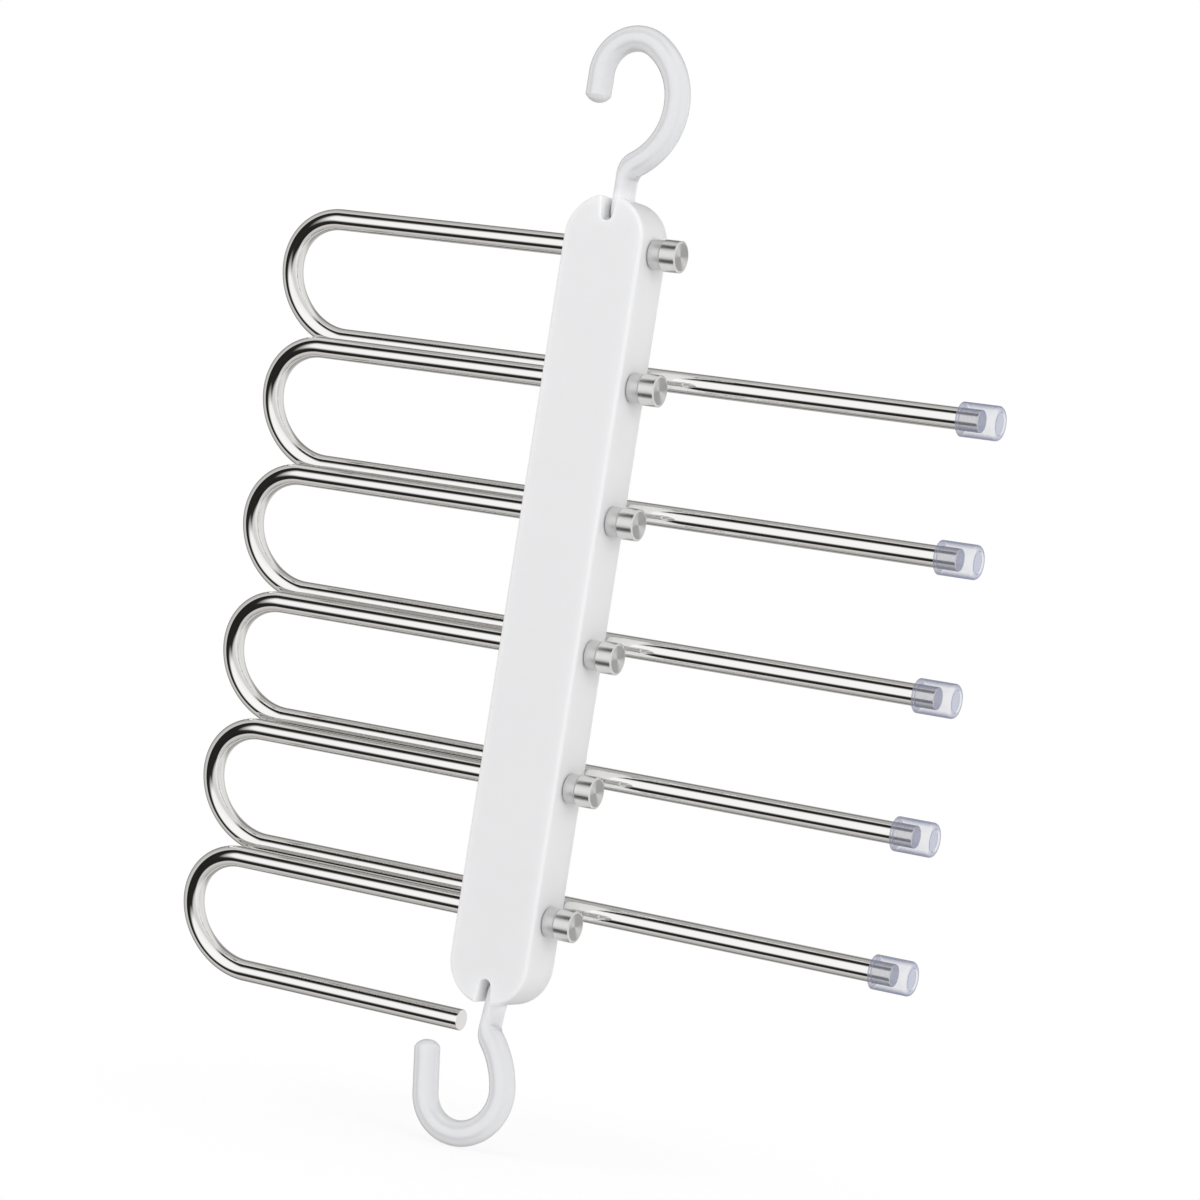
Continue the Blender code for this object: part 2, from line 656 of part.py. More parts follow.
def make_end_cap(name, material, parent):
    """A soft cup pushed over the long leg's end, with a rounded rim and a dished end."""
    radius = CAP_DIAMETER / 2
    dish = CAP_DISH_DIAMETER / 2
    bore = TUBE_RADIUS + SEAT_GAP
    mouth = LEG_REACH - CAP_GRIP
    end = LEG_REACH + CAP_SOLID
    edge = CAP_ROUND / 3
    profile = [(LEG_REACH + SEAT_GAP, bore), (mouth, bore), (mouth, radius - edge), (mouth + edge, radius)]
    for turn in (0.0, math.pi / 6, math.pi / 3, math.pi / 2):
        profile.append((end - CAP_ROUND * (1 - math.sin(turn)), radius - CAP_ROUND * (1 - math.cos(turn))))
    profile += [(end, dish), (end - CAP_DISH, dish - CAP_DISH)]
    rings = [ring_of(x * X - LEG_OFFSET * Z, -Z, Y, r, TUBE_SIDES) for x, r in profile]
    bm = bmesh.new()
    skin(bm, rings)
    make_object(name, bm, material, parent)


def make_arm(number, pivot_z, finishes):
    """One arm with its knob, spacer, collar and cap; the last arm's leg is cut short and has no cap."""
    pivot = make_pivot(f"arm_pivot_{number}", (0.0, 0.0, pivot_z), LEAN)
    short = number == ARM_COUNT
    make_swing_arm(f"swing_arm_{number}", SHORT_LEG_REACH if short else LEG_REACH, finishes["tube"], pivot)
    make_knob(f"pivot_knob_{number}", finishes["knob"], pivot)
    make_spacer(f"knob_spacer_{number}", finishes["spacer"], pivot)
    make_collar(f"pivot_collar_{number}", finishes["collar"], pivot)
    if not short:
        make_end_cap(f"end_cap_{number}", finishes["cap"], pivot)


def build():
    """Clears the scene and makes the whole hanger."""
    for old in list(bpy.data.objects):
        bpy.data.objects.remove(old, do_unlink=True)
    finishes = {
        "spine": make_material("satin white plastic", (0.80, 0.80, 0.81), 0.0, 0.45),
        "hook": make_material("glossy white plastic", (0.83, 0.83, 0.84), 0.0, 0.25),
        "tube": make_material("polished steel", (0.78, 0.76, 0.73), 1.0, 0.08),
        "knob": make_material("turned steel", (0.66, 0.66, 0.66), 1.0, 0.25),
        "spacer": make_material("pearl nylon", (0.78, 0.78, 0.78), 0.0, 0.35),
        "collar": make_material("natural acetal", (0.72, 0.72, 0.70), 0.0, 0.5),
        "cap": make_material("clear vinyl", (0.86, 0.87, 0.93), 0.0, 0.1),
        "screw": make_material("zinc screw", (0.60, 0.61, 0.62), 1.0, 0.35),
    }
    make_front_shell(finishes["spine"])
    make_rear_cover(finishes["spine"])
    for n, z in enumerate(SCREWS_Z):
        make_cover_screw(f"cover_screw_{n + 1}", z, finishes["screw"])
    make_hook("top_hook", UPPER_HOOK, (0.0, 0.0, UPPER_PIN_Z), 0.0, finishes["hook"])
    make_hook("bottom_hook", LOWER_HOOK, (0.0, 0.0, LOWER_PIN_Z), math.pi - LOWER_HOOK_FOLD, finishes["hook"])
    make_pin("top_hook_pin", UPPER_PIN_Z, finishes["screw"])
    make_pin("bottom_hook_pin", LOWER_PIN_Z, finishes["screw"])
    for n, pivot_z in enumerate(PIVOTS_Z):
        make_arm(n + 1, pivot_z, finishes)


build()
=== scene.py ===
import json
import math

import bpy
import numpy as np
from mathutils import Matrix, Vector


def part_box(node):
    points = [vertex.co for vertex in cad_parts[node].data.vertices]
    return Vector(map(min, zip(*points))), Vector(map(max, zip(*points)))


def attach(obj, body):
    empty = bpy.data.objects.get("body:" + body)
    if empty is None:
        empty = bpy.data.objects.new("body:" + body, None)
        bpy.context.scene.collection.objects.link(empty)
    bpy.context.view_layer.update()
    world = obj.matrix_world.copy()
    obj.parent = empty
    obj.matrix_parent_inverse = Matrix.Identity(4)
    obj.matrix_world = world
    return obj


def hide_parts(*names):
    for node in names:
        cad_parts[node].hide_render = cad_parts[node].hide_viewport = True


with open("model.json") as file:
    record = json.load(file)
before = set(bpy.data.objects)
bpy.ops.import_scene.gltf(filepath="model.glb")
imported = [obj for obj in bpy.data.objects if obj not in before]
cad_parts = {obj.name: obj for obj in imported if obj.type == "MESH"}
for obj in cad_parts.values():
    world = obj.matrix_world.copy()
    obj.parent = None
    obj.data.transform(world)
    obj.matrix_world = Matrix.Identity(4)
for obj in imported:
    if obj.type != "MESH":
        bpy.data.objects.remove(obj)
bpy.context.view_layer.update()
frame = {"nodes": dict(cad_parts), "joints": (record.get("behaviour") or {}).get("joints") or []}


# Front shell
# The spine's housing is a long box with round ends and a filleted face, open to the rear. It is injection
# moulded in white ABS with a fine satin texture. Bores carry the arms' pivot legs, and a slot in each end,
# backed by a solid cradle for the cross pin, lets a hook fold.

MM = 0.001

spine_low, spine_high = (np.array(corner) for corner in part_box("front_shell"))
hinge_heights = {joint["child"]: joint["pos_m"][2] for joint in frame["joints"]}
pivots = {body: height for body, height in hinge_heights.items() if body.startswith("arm")}
hook_pins = {body: height for body, height in hinge_heights.items() if body.endswith("hook")}
HALF_WIDTH = spine_high[0]
HALF_DEPTH = spine_high[1]
SHELL_WALL = 2.4 * MM
FACE_FILLET = 1.4 * MM
RIM_EDGE = 0.35 * MM
RIM_WALL = 1.2 * MM
COVER_THICKNESS = 2.4 * MM
SEAT_GAP = 0.3 * MM
TUBE_RADIUS = 4.5 * MM
BAR_RADIUS = 5.35 * MM
TONGUE_THICKNESS = 5.0 * MM
SLOT_HALF_WIDTH = TONGUE_THICKNESS / 2 + SEAT_GAP
SLOT_FLARE = 1.2 * MM
SLOT_LIP = 0.45 * MM
BORE_LIP = 0.3 * MM
CRADLE_HALF_WIDTH = 9.1 * MM
CRADLE_WALL = 1.8 * MM
ROUND_STEPS = 64
LIP_STEPS = 6
FOOT_STEPS = 24
SIDE_RINGS = 12
CRADLE_STEPS = 16
SAME_POINT = 0.001 * MM


def rounded(corners, radii, steps=6, hold=0.12 * MM):
    """Rounds the inner corners of an open profile.

    Each corner's two legs are cut back by its radius times the tangent of half the turn, to A and B. The arc
    between them is the rational curve (1-t)(1-t) A + 2t(1-t)w C + t t B over the same weights' sum, with C
    the corner and w the cosine of half the turn. One more point on each leg, held just outside the arc,
    keeps the flat beside it flat-shaded. Points that fall together are merged.
    """
    corners = np.array(corners, float)
    tips = corners[1:-1]
    into = tips - corners[:-2]
    out = corners[2:] - tips
    into /= np.linalg.norm(into, axis=1, keepdims=True)
    out /= np.linalg.norm(out, axis=1, keepdims=True)
    half_turn = np.arccos(np.clip((into * out).sum(axis=1, keepdims=True), -1, 1)) / 2
    cut = np.reshape(radii, (-1, 1)) * np.tan(half_turn)
    first = tips - cut * into
    last = tips + cut * out
    t = np.linspace(0, 1, steps + 1)[None, :, None]
    middle = 2 * t * (1 - t) * np.cos(half_turn)[:, :, None]
    arcs = (1 - t) ** 2 * first[:, None] + middle * tips[:, None] + t**2 * last[:, None]
    arcs /= (1 - t) ** 2 + middle + t**2
    held = [(first - hold * into)[:, None], arcs, (last + hold * out)[:, None]]
    points = np.vstack([corners[:1], np.concatenate(held, axis=1).reshape(-1, 2), corners[-1:]])
    apart = np.linalg.norm(np.diff(points, axis=0), axis=1) > SAME_POINT
    return points[np.r_[True, apart]]


def skin(rings, cyclic):
    """Points, faces and corner coordinates of a surface over a (rings, sides, 3) array.

    Face (i, j) joins points j and j+1 of rings i and i+1. The end rings are closed with one face each, or
    joined to each other on a cyclic surface. The faces are turned over where the enclosed volume, a sixth of
    the sum of a.(b x c) over all triangles, is negative. A corner's u is the length along the surface's first
    line, and its v the length round the longest ring.
    """
    count, sides = rings.shape[:2]
    i, j = np.meshgrid(np.arange(count if cyclic else count - 1), np.arange(sides), indexing="ij")
    near, far, after = i * sides, (i + 1) % count * sides, (j + 1) % sides
    quads = np.stack([near + j, near + after, far + after, far + j], axis=-1).reshape(-1, 4)
    along = np.r_[0, np.cumsum(np.linalg.norm(np.diff(rings[:, 0], axis=0), axis=1))]
    along = np.r_[along, along[-1] + np.linalg.norm(rings[0, 0] - rings[-1, 0])]
    girth = np.linalg.norm(rings - np.roll(rings, 1, axis=1), axis=2).sum(axis=1).max()
    u = np.stack([along[i], along[i], along[i + 1], along[i + 1]], axis=-1)
    v = np.stack([j, j + 1, j + 1, j], axis=-1) * girth / sides
    corners = np.stack([u, v], axis=-1).reshape(-1, 4, 2)
    ring = np.arange(sides)
    fan = np.stack([np.zeros(sides - 2, int), ring[1:-1], ring[2:]], axis=1)
    triangles = [quads[:, :3], quads[:, [0, 2, 3]]]
    if not cyclic:
        triangles += [fan[:, ::-1], fan + (count - 1) * sides]
    points = rings.reshape(-1, 3)
    a, b, c = np.moveaxis(points[np.vstack(triangles)], 1, 0)
    turn = 1 if np.einsum("ij,ij->", a, np.cross(b, c)) > 0 else -1
    faces = quads[:, ::turn].tolist()
    corners = corners[:, ::turn].reshape(-1, 2)
    if not cyclic:
        ends = np.stack([ring[::-1], ring + (count - 1) * sides])[:, ::turn]
        faces += ends.tolist()
        corners = np.vstack([corners, np.repeat(along[[0, count - 1]], sides)[:, None] * [1, 0]])
    return points, faces, corners


def make_piece(name, rings, material, cyclic=False):
    """An object with the skin of the rings, smooth-shaded where faces meet at less than 30 degrees."""
    points, faces, corners = skin(rings, cyclic)
    mesh = bpy.data.meshes.new(name)
    mesh.from_pydata(points, [], faces)
    mesh.uv_layers.new(name="surface").data.foreach_set("uv", corners.astype(np.float32).ravel())
    mesh.shade_smooth()
    mesh.set_sharp_from_angle(angle=math.radians(30))
    mesh.materials.append(material)
    piece = bpy.data.objects.new(name, mesh)
    bpy.context.scene.collection.objects.link(piece)
    return piece


def carve(target, tool, operation="DIFFERENCE", crease=9):
    """Cuts the tool out of the target, or fuses it on, by an exact Boolean, and removes the tool.

    Edges where faces meet at more than the crease angle, in degrees, are then sharp.
    """
    modifier = target.modifiers.new(tool.name, "BOOLEAN")
    modifier.solver = "EXACT"
    modifier.operation = operation
    modifier.object = tool
    carved = bpy.data.meshes.new_from_object(target.evaluated_get(bpy.context.evaluated_depsgraph_get()))
    target.modifiers.clear()
    target.data = carved
    bpy.data.objects.remove(tool)
    carved.shade_smooth()
    carved.set_sharp_from_angle(angle=math.radians(crease))


def spine_rings(profile):
    """Rings of the spine's outline, one for each (inset, y) of a profile.

    A point of a ring is (r cos t, y, c + r sin t), with r the half width less the inset, t once round, and c
    the centre of the upper round end for the first half turn and of the lower one for the second.
    """
    inset, y = np.array(profile).T[:, :, None]
    t = np.linspace(0, math.pi, ROUND_STEPS + 1)
    t = np.r_[t, math.pi + t][None, :]
    top, bottom = spine_high[2] - HALF_WIDTH, spine_low[2] + HALF_WIDTH
    centre = np.repeat([top, bottom], ROUND_STEPS + 1)[None, :]
    radius = HALF_WIDTH - inset
    return np.stack([radius * np.cos(t), np.broadcast_to(y, radius.shape[:1] + t.shape[1:]),
                     centre + radius * np.sin(t)], axis=-1)


def turned(profile, centre, axis, sides=64):
    """Rings of a body of revolution: centre + d axis + r (cos t a + sin t b) for each (d, r) of a profile.

    The axis is X or Y, a points up, and b is square to both.
    """
    distance, radius = np.array(profile).T[:, :, None, None]
    t = np.linspace(0, 2 * math.pi, sides, endpoint=False)[None, :, None]
    first = np.array([0.0, 0.0, 1.0])
    second = np.cross(axis, first)
    return np.array(centre) + distance * np.array(axis) + radius * (np.cos(t) * first + np.sin(t) * second)


def slot_rings(pin_z, up):
    """Rings of the tool that cuts a hook's slot: a U outline carried along Y.

    Its foot is a half circle. Its sides part by the flare towards the spine's end and curl out by a quarter
    circle under the end's surface. Every ring is widened by L - sqrt(L L - (L - depth)(L - depth)), with L
    the lip, which rounds the edge of the spine's face.
    """
    depth = np.r_[-1.0, np.linspace(0, 1, LIP_STEPS + 1)] * SLOT_LIP
    wide = SLOT_LIP - np.sqrt(SLOT_LIP**2 - np.clip(SLOT_LIP - depth, 0, SLOT_LIP) ** 2)
    y = np.r_[depth - HALF_DEPTH, BAR_RADIUS + SEAT_GAP]
    wide = np.r_[wide, 0.0][:, None]
    end = spine_high[2] if up > 0 else spine_low[2]
    foot = pin_z - up * (BAR_RADIUS + SEAT_GAP - SLOT_HALF_WIDTH)
    t = np.linspace(math.pi, 2 * math.pi, FOOT_STEPS + 1)
    foot_x = (SLOT_HALF_WIDTH + wide) * np.cos(t)
    foot_z = foot + up * (SLOT_HALF_WIDTH + wide) * np.sin(t)
    share = np.linspace(0.1, 1.0, SIDE_RINGS)
    side_z = foot + share * (end + up * SLOT_LIP - foot)
    surface = np.sqrt(HALF_WIDTH**2 - (SLOT_HALF_WIDTH + SLOT_FLARE) ** 2) - HALF_WIDTH
    under = np.clip(SLOT_LIP - (surface - up * (side_z - end)), 0, SLOT_LIP)
    curl = SLOT_LIP - np.sqrt(SLOT_LIP**2 - under**2)
    side_x = SLOT_HALF_WIDTH + SLOT_FLARE * share + curl + wide
    side_z = np.broadcast_to(side_z, side_x.shape)
    x = np.concatenate([foot_x, side_x, -side_x[:, ::-1]], axis=1)
    z = np.concatenate([foot_z, side_z, side_z[:, ::-1]], axis=1)
    return np.stack([x, np.broadcast_to(y[:, None], x.shape), z], axis=-1)


def cradle_rings(pin_z, up):
    """Two rings of the block behind a slot: an arc just inside the spine's round end, and a straight foot."""
    radius = HALF_WIDTH - SHELL_WALL + SEAT_GAP
    centre = (spine_high[2] - HALF_WIDTH) if up > 0 else (spine_low[2] + HALF_WIDTH)
    reach = math.asin(CRADLE_HALF_WIDTH / radius)
    t = np.linspace(-reach, reach, CRADLE_STEPS + 1)
    foot = pin_z - up * (BAR_RADIUS + SEAT_GAP + CRADLE_WALL)
    x = np.r_[radius * np.sin(t), CRADLE_HALF_WIDTH, -CRADLE_HALF_WIDTH]
    z = np.r_[centre + up * radius * np.cos(t), foot, foot]
    front = SHELL_WALL - HALF_DEPTH - SEAT_GAP
    back = BAR_RADIUS + SEAT_GAP + CRADLE_WALL / 2
    return np.stack([np.stack([x, np.full_like(x, y), z], axis=-1) for y in (front, back)])


def new_material(name, **sockets):
    """A node material, with the shader's own sockets set; returns the material, its nodes and its links."""
    material = bpy.data.materials.new(name)
    material.use_nodes = True
    shader = material.node_tree.nodes["Principled BSDF"]
    for socket, value in sockets.items():
        shader.inputs[socket.replace("_", " ")].default_value = value
    return material, material.node_tree.nodes, material.node_tree.links


def noise(nodes, links, scale, stretch=(1, 1, 1), source="Object", detail=3.0):
    """A noise pattern over stretched coordinates, in waves per metre."""
    place = nodes.new("ShaderNodeTexCoord")
    mapping = nodes.new("ShaderNodeMapping")
    mapping.inputs["Scale"].default_value = stretch
    pattern = nodes.new("ShaderNodeTexNoise")
    pattern.inputs["Scale"].default_value = scale
    pattern.inputs["Detail"].default_value = detail
    links.new(place.outputs[source], mapping.inputs["Vector"])
    links.new(mapping.outputs["Vector"], pattern.inputs["Vector"])
    return pattern.outputs["Fac"]


def spread(nodes, links, pattern, low, high, target, start=0.3, stop=0.7):
    """Drives a shader's socket between two values with a pattern.

    Numbers pass from low to high as the pattern rises from start to stop, and colours as it rises from 0
    to 1.
    """
    colours = isinstance(low, tuple)
    ramp = nodes.new("ShaderNodeMix" if colours else "ShaderNodeMapRange")
    if colours:
        ramp.data_type = "RGBA"
        ramp.inputs["A"].default_value = (*low, 1.0)
        ramp.inputs["B"].default_value = (*high, 1.0)
        links.new(pattern, ramp.inputs["Factor"])
        links.new(ramp.outputs["Result"], target)
    else:
        for socket, value in (("From Min", start), ("From Max", stop), ("To Min", low), ("To Max", high)):
            ramp.inputs[socket].default_value = value
        links.new(pattern, ramp.inputs["Value"])
        links.new(ramp.outputs["Result"], target)


def grain(nodes, links, pattern, height):
    """Raises the surface by a pattern, up to a height in metres."""
    bump = nodes.new("ShaderNodeBump")
    bump.inputs["Distance"].default_value = height
    links.new(pattern, bump.inputs["Height"])
    links.new(bump.outputs["Normal"], nodes["Principled BSDF"].inputs["Normal"])


def points_of(piece):
    """The coordinates of a piece's points."""
    places = np.empty(len(piece.data.vertices) * 3)
    piece.data.vertices.foreach_get("co", places)
    return places.reshape(-1, 3)


def mark(piece, name, share):
    """Stores a share from 0 to 1 on each point of a piece, for its material to read."""
    layer = piece.data.attributes.new(name, "FLOAT", "POINT")
    layer.data.foreach_set("value", share.astype(np.float32))


def paint_in_light(nodes, links, name, colour):
    """Paints light: passes the shader's base colour to a lighter one by the share that is stored on the
    points.
    """
    stored = nodes.new("ShaderNodeAttribute")
    stored.attribute_name = name
    base = nodes["Principled BSDF"].inputs["Base Color"]
    mix = nodes.new("ShaderNodeMix")
    mix.data_type = "RGBA"
    mix.inputs["B"].default_value = (*colour, 1.0)
    links.new(stored.outputs["Fac"], mix.inputs["Factor"])
    links.new(base.links[0].from_socket, mix.inputs["A"])
    links.new(mix.outputs["Result"], base)


def slot_painted_light_share(places):
    """1 on a slot's walls, which get painted light that lifts the shade in the slot, falling to 0 over the
    lip at the face.
    """
    x, y = places[:, 0], places[:, 1]
    between = (np.abs(x) < SLOT_HALF_WIDTH + SLOT_FLARE + SLOT_LIP) & (y < BAR_RADIUS + SEAT_GAP + RIM_EDGE)
    return np.clip((y + HALF_DEPTH) / SLOT_LIP, 0, 1) * between


spine_white, nodes, links = new_material(
    "satin white ABS", IOR=1.5, Subsurface_Weight=0.8, Subsurface_Radius=(1.0, 1.0, 1.0),
    Subsurface_Scale=3.5 * MM, Coat_Weight=0.6, Coat_Roughness=0.14)
shader = nodes["Principled BSDF"].inputs
cloud = noise(nodes, links, 22.0)
spread(nodes, links, cloud, (0.792, 0.792, 0.804), (0.808, 0.808, 0.818), shader["Base Color"])
spread(nodes, links, cloud, 0.40, 0.47, shader["Roughness"])
grain(nodes, links, noise(nodes, links, 5200.0, detail=1.0), 0.006 * MM)
# Painted light: the slots' walls pass to a lighter white, which lifts the shade that falls in them.
paint_in_light(nodes, links, "slot", (0.92, 0.92, 0.93))

LEDGE_Y = HALF_DEPTH - COVER_THICKNESS - SEAT_GAP
FLOOR_Y = SHELL_WALL - HALF_DEPTH
shell_profile = rounded(
    [(2 * FACE_FILLET, -HALF_DEPTH), (0, -HALF_DEPTH), (0, HALF_DEPTH), (RIM_WALL, HALF_DEPTH),
     (RIM_WALL, LEDGE_Y), (SHELL_WALL, LEDGE_Y), (SHELL_WALL, FLOOR_Y), (2 * SHELL_WALL, FLOOR_Y)],
    [FACE_FILLET, RIM_EDGE, RIM_EDGE / 2, RIM_EDGE / 2, RIM_EDGE / 2, FACE_FILLET / 2], steps=14)
front_shell = make_piece("front_shell_moulding", spine_rings(shell_profile), spine_white)
for hook, up in (("upper_hook", 1), ("lower_hook", -1)):
    carve(front_shell, make_piece("cradle", cradle_rings(hook_pins[hook], up), spine_white), "UNION")
    carve(front_shell, make_piece("slot", slot_rings(hook_pins[hook], up), spine_white))
for pivot_z in pivots.values():
    reach = HALF_WIDTH + SHELL_WALL
    lip = TUBE_RADIUS + SEAT_GAP + BORE_LIP
    bore = [(-reach, lip), (-HALF_WIDTH, lip), (BORE_LIP - HALF_WIDTH, lip - BORE_LIP),
            (HALF_WIDTH - BORE_LIP, lip - BORE_LIP), (HALF_WIDTH, lip), (reach, lip)]
    carve(front_shell, make_piece("bore", turned(bore, (0, 0, pivot_z), (1, 0, 0)), spine_white))
# Painted light: each point stores how far the slots' lighter painted white reaches it.
mark(front_shell, "slot", slot_painted_light_share(points_of(front_shell)))
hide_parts("front_shell")
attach(front_shell, "spine")


# Rear cover
# A flat plate in the same white ABS closes the spine. It drops into the shell's rim with a hairline joint and
# has four round recesses for the heads of its screws.

COVER_EDGE = 0.35 * MM
SCREW_HEAD_DIAMETER = 5.2 * MM
SCREW_HEAD_HEIGHT = 1.0 * MM
SCREW_DIAMETER = 2.4 * MM
SCREW_LENGTH = 10.0 * MM

screws = [name for name in frame["nodes"] if name.startswith("cover_screw")]
screw_places = {name: sum(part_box(name), Vector()) / 2 for name in screws}

inset = RIM_WALL + SEAT_GAP
cover_back = HALF_DEPTH - COVER_THICKNESS
cover_profile = rounded(
    [(3 * RIM_WALL, cover_back), (inset, cover_back), (inset, HALF_DEPTH), (3 * RIM_WALL, HALF_DEPTH)],
    [COVER_EDGE / 2, COVER_EDGE], steps=8)
rear_cover = make_piece("rear_cover_plate", spine_rings(cover_profile), spine_white)
SINK_Y = HALF_DEPTH - SEAT_GAP - SCREW_HEAD_HEIGHT - SEAT_GAP
for place in screw_places.values():
    hole = SCREW_DIAMETER / 2 + SEAT_GAP
    sink = SCREW_HEAD_DIAMETER / 2 + SEAT_GAP
    recess = [(cover_back - SHELL_WALL, hole), (SINK_Y, hole), (SINK_Y, sink), (HALF_DEPTH - BORE_LIP, sink),
              (HALF_DEPTH, sink + BORE_LIP), (HALF_DEPTH + SHELL_WALL, sink + BORE_LIP)]
    carve(rear_cover, make_piece("recess", turned(recess, (0, 0, place.z), (0, 1, 0)), spine_white))
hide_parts("rear_cover")
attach(rear_cover, "spine")


# Cover screws
# Four pan-head screws of zinc-plated steel with a cross recess cut their own thread in the shell's pillars
# and sit just below the cover's face.

CROSS_LENGTH = 2.9 * MM
CROSS_WIDTH = 0.85 * MM
CROSS_DEPTH = 0.75 * MM
CROSS_TAPER = (1.15, 1.0, 0.55)  # its size above the face, at the face and at its foot
HEAD_EDGE = 0.35 * MM
HEAD_CROWN = 0.6  # the share of the head's height and width that its slanted shoulder leaves


def cross_rings(place, face_y):
    """Rings of the cross recess: twelve corners of a plus, drawn in from the face to the foot by a taper."""
    arm = CROSS_LENGTH / 2
    web = CROSS_WIDTH / 2
    quarter = np.array([(arm, -web), (arm, web), (web, web)])
    plus = np.vstack([quarter @ np.array([[c, s], [-s, c]]) for c, s in ((1, 0), (0, 1), (-1, 0), (0, -1))])
    taper = np.array(CROSS_TAPER)[:, None]
    y = face_y + np.array([SCREW_HEAD_HEIGHT, 0.0, -CROSS_DEPTH])[:, None]
    x = place.x + taper * plus[:, 0]
    z = place.z + taper * plus[:, 1]
    return np.stack([x, np.broadcast_to(y, x.shape), z], axis=-1)


zinc, nodes, links = new_material("zinc plate", Metallic=1.0)
shader = nodes["Principled BSDF"].inputs
spread(nodes, links, noise(nodes, links, 600.0), (0.56, 0.57, 0.59), (0.66, 0.67, 0.68), shader["Base Color"])
spread(nodes, links, noise(nodes, links, 1500.0), 0.26, 0.42, shader["Roughness"])

head_y = HALF_DEPTH - SEAT_GAP - SCREW_HEAD_HEIGHT
for name, place in screw_places.items():
    shank = SCREW_DIAMETER / 2
    head = SCREW_HEAD_DIAMETER / 2
    tip_y = head_y - SCREW_LENGTH
    top_y = head_y + SCREW_HEAD_HEIGHT
    profile = rounded(
        [(tip_y, shank / 3), (tip_y + shank, shank), (head_y, shank), (head_y, head),
         (head_y + SCREW_HEAD_HEIGHT * HEAD_CROWN, head), (top_y, head * HEAD_CROWN), (top_y, shank / 2)],
        [0.0, 0.0, HEAD_EDGE / 3, HEAD_EDGE, HEAD_EDGE], hold=0.02 * MM)
    rings = turned(profile, (0, 0, place.z), (0, 1, 0), sides=48)
    screw = make_piece(name + "_pan_head", rings, zinc)
    carve(screw, make_piece("cross", cross_rings(place, top_y), zinc), crease=25)
    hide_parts(name)
    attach(screw, "spine")


# Hook pins
# Two ground steel pins with broken edges lie across the slots, held in the cradles. The hooks turn on them.

PIN_RADIUS = 1.5 * MM
PIN_EDGE = 0.3 * MM

for name, hook in (("top_hook_pin", "upper_hook"), ("bottom_hook_pin", "lower_hook")):
    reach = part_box(name)[1].x
    profile = rounded(
        [(-reach, PIN_RADIUS / 3), (-reach, PIN_RADIUS), (reach, PIN_RADIUS), (reach, PIN_RADIUS / 3)],
        [PIN_EDGE, PIN_EDGE], hold=0.05 * MM)
    rings = turned(profile, (0, 0, hook_pins[hook]), (1, 0, 0), sides=32)
    pin = make_piece(name + "_ground", rings, zinc)
    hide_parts(name)
    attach(pin, "spine")


# Folding hooks
# Each hook is one moulding of milky white acetal: a flat tongue on the cross pin swells into a round bar,
# which turns right in the neck, left round the side and the arch, and ends in a low dome with a soft edge.

UPPER_ROUTE = {
    "shank": 0.22 * MM,
    "neck_radius": 9.0 * MM,
    "side_radius": 28.6 * MM,
    "side_turn": math.radians(117.4),
    "arch_radius": 15.3 * MM,
    "arch_turn": math.radians(121.9),
    "tip": 12.0 * MM,
    "tip_splay": 0.0,
}
LOWER_ROUTE = {
    "shank": 0.7 * MM,
    "neck_radius": 9.0 * MM,
    "side_radius": 41.2 * MM,
    "side_turn": math.radians(29.9),
    "arch_radius": 17.7 * MM,
    "arch_turn": math.radians(181.3),
    "tip": 21.0 * MM,
    "tip_splay": math.radians(13.0),
}
LOWER_FOLD = math.radians(10.0)
TONGUE_LENGTH = HALF_DEPTH + SEAT_GAP
TONGUE_BLEND = 7.0 * MM
TONGUE_POWER = 0.6
REAR_POWER = 0.2  # squarer behind, where the tongue never meets the slot's round foot
REAR_WEDGE = 0.6  # how much thicker it is at its rear, where the slot's sides have parted
SWELL_LENGTH = 4.0 * MM  # above the pin, within which the rear takes this form
DOME_HEIGHT = 3.0 * MM
DOME_EDGE = 0.8 * MM
STEP_LENGTH = 0.6 * MM
BAR_SIDES = 56
ROOT_RINGS = 14
ROOT_START = 0.12  # the angle in radians from the root's foot to its first ring
DOME_RINGS = 10
DOME_SHOULDER = 0.7  # where the dome's own rings begin, as a share of its slope
DOME_STOP = 0.05  # the angle in radians from the dome's top to its last ring


def hook_route(route):
    """Places and headings along a hook's centre line, in its own plane, from the pin to the foot of the dome.

    The line is a chain of short arcs. Each turns by its length times its stretch's curvature, and its chord,
    the length times sin(h)/h with h half the turn, runs halfway between its two headings.
    """
    neck_turn = route["side_turn"] + route["arch_turn"] + route["tip_splay"] - math.pi
    lengths = np.array([TONGUE_LENGTH + route["shank"], route["neck_radius"] * neck_turn,
                        route["side_radius"] * route["side_turn"], route["arch_radius"] * route["arch_turn"],
                        route["tip"] - DOME_HEIGHT])
    curvature = np.array(
        [0, -1 / route["neck_radius"], 1 / route["side_radius"], 1 / route["arch_radius"], 0])
    steps = np.ceil(lengths / STEP_LENGTH).astype(int)
    step = np.repeat(lengths / np.maximum(steps, 1), steps)
    turn = step * np.repeat(curvature, steps)
    heading = math.pi / 2 + np.cumsum(turn)
    chord = step * np.sinc(turn / 2 / math.pi)
    middle = heading - turn / 2
    place = np.cumsum(chord[:, None] * np.stack([np.cos(middle), np.sin(middle)], axis=1), axis=0)
    return place, heading


def smoothstep(place, start, length):
    """s s (3 - 2s), with s rising from 0 to 1 along a length."""
    share = np.clip((place - start) / length, 0, 1)
    return share * share * (3 - 2 * share)


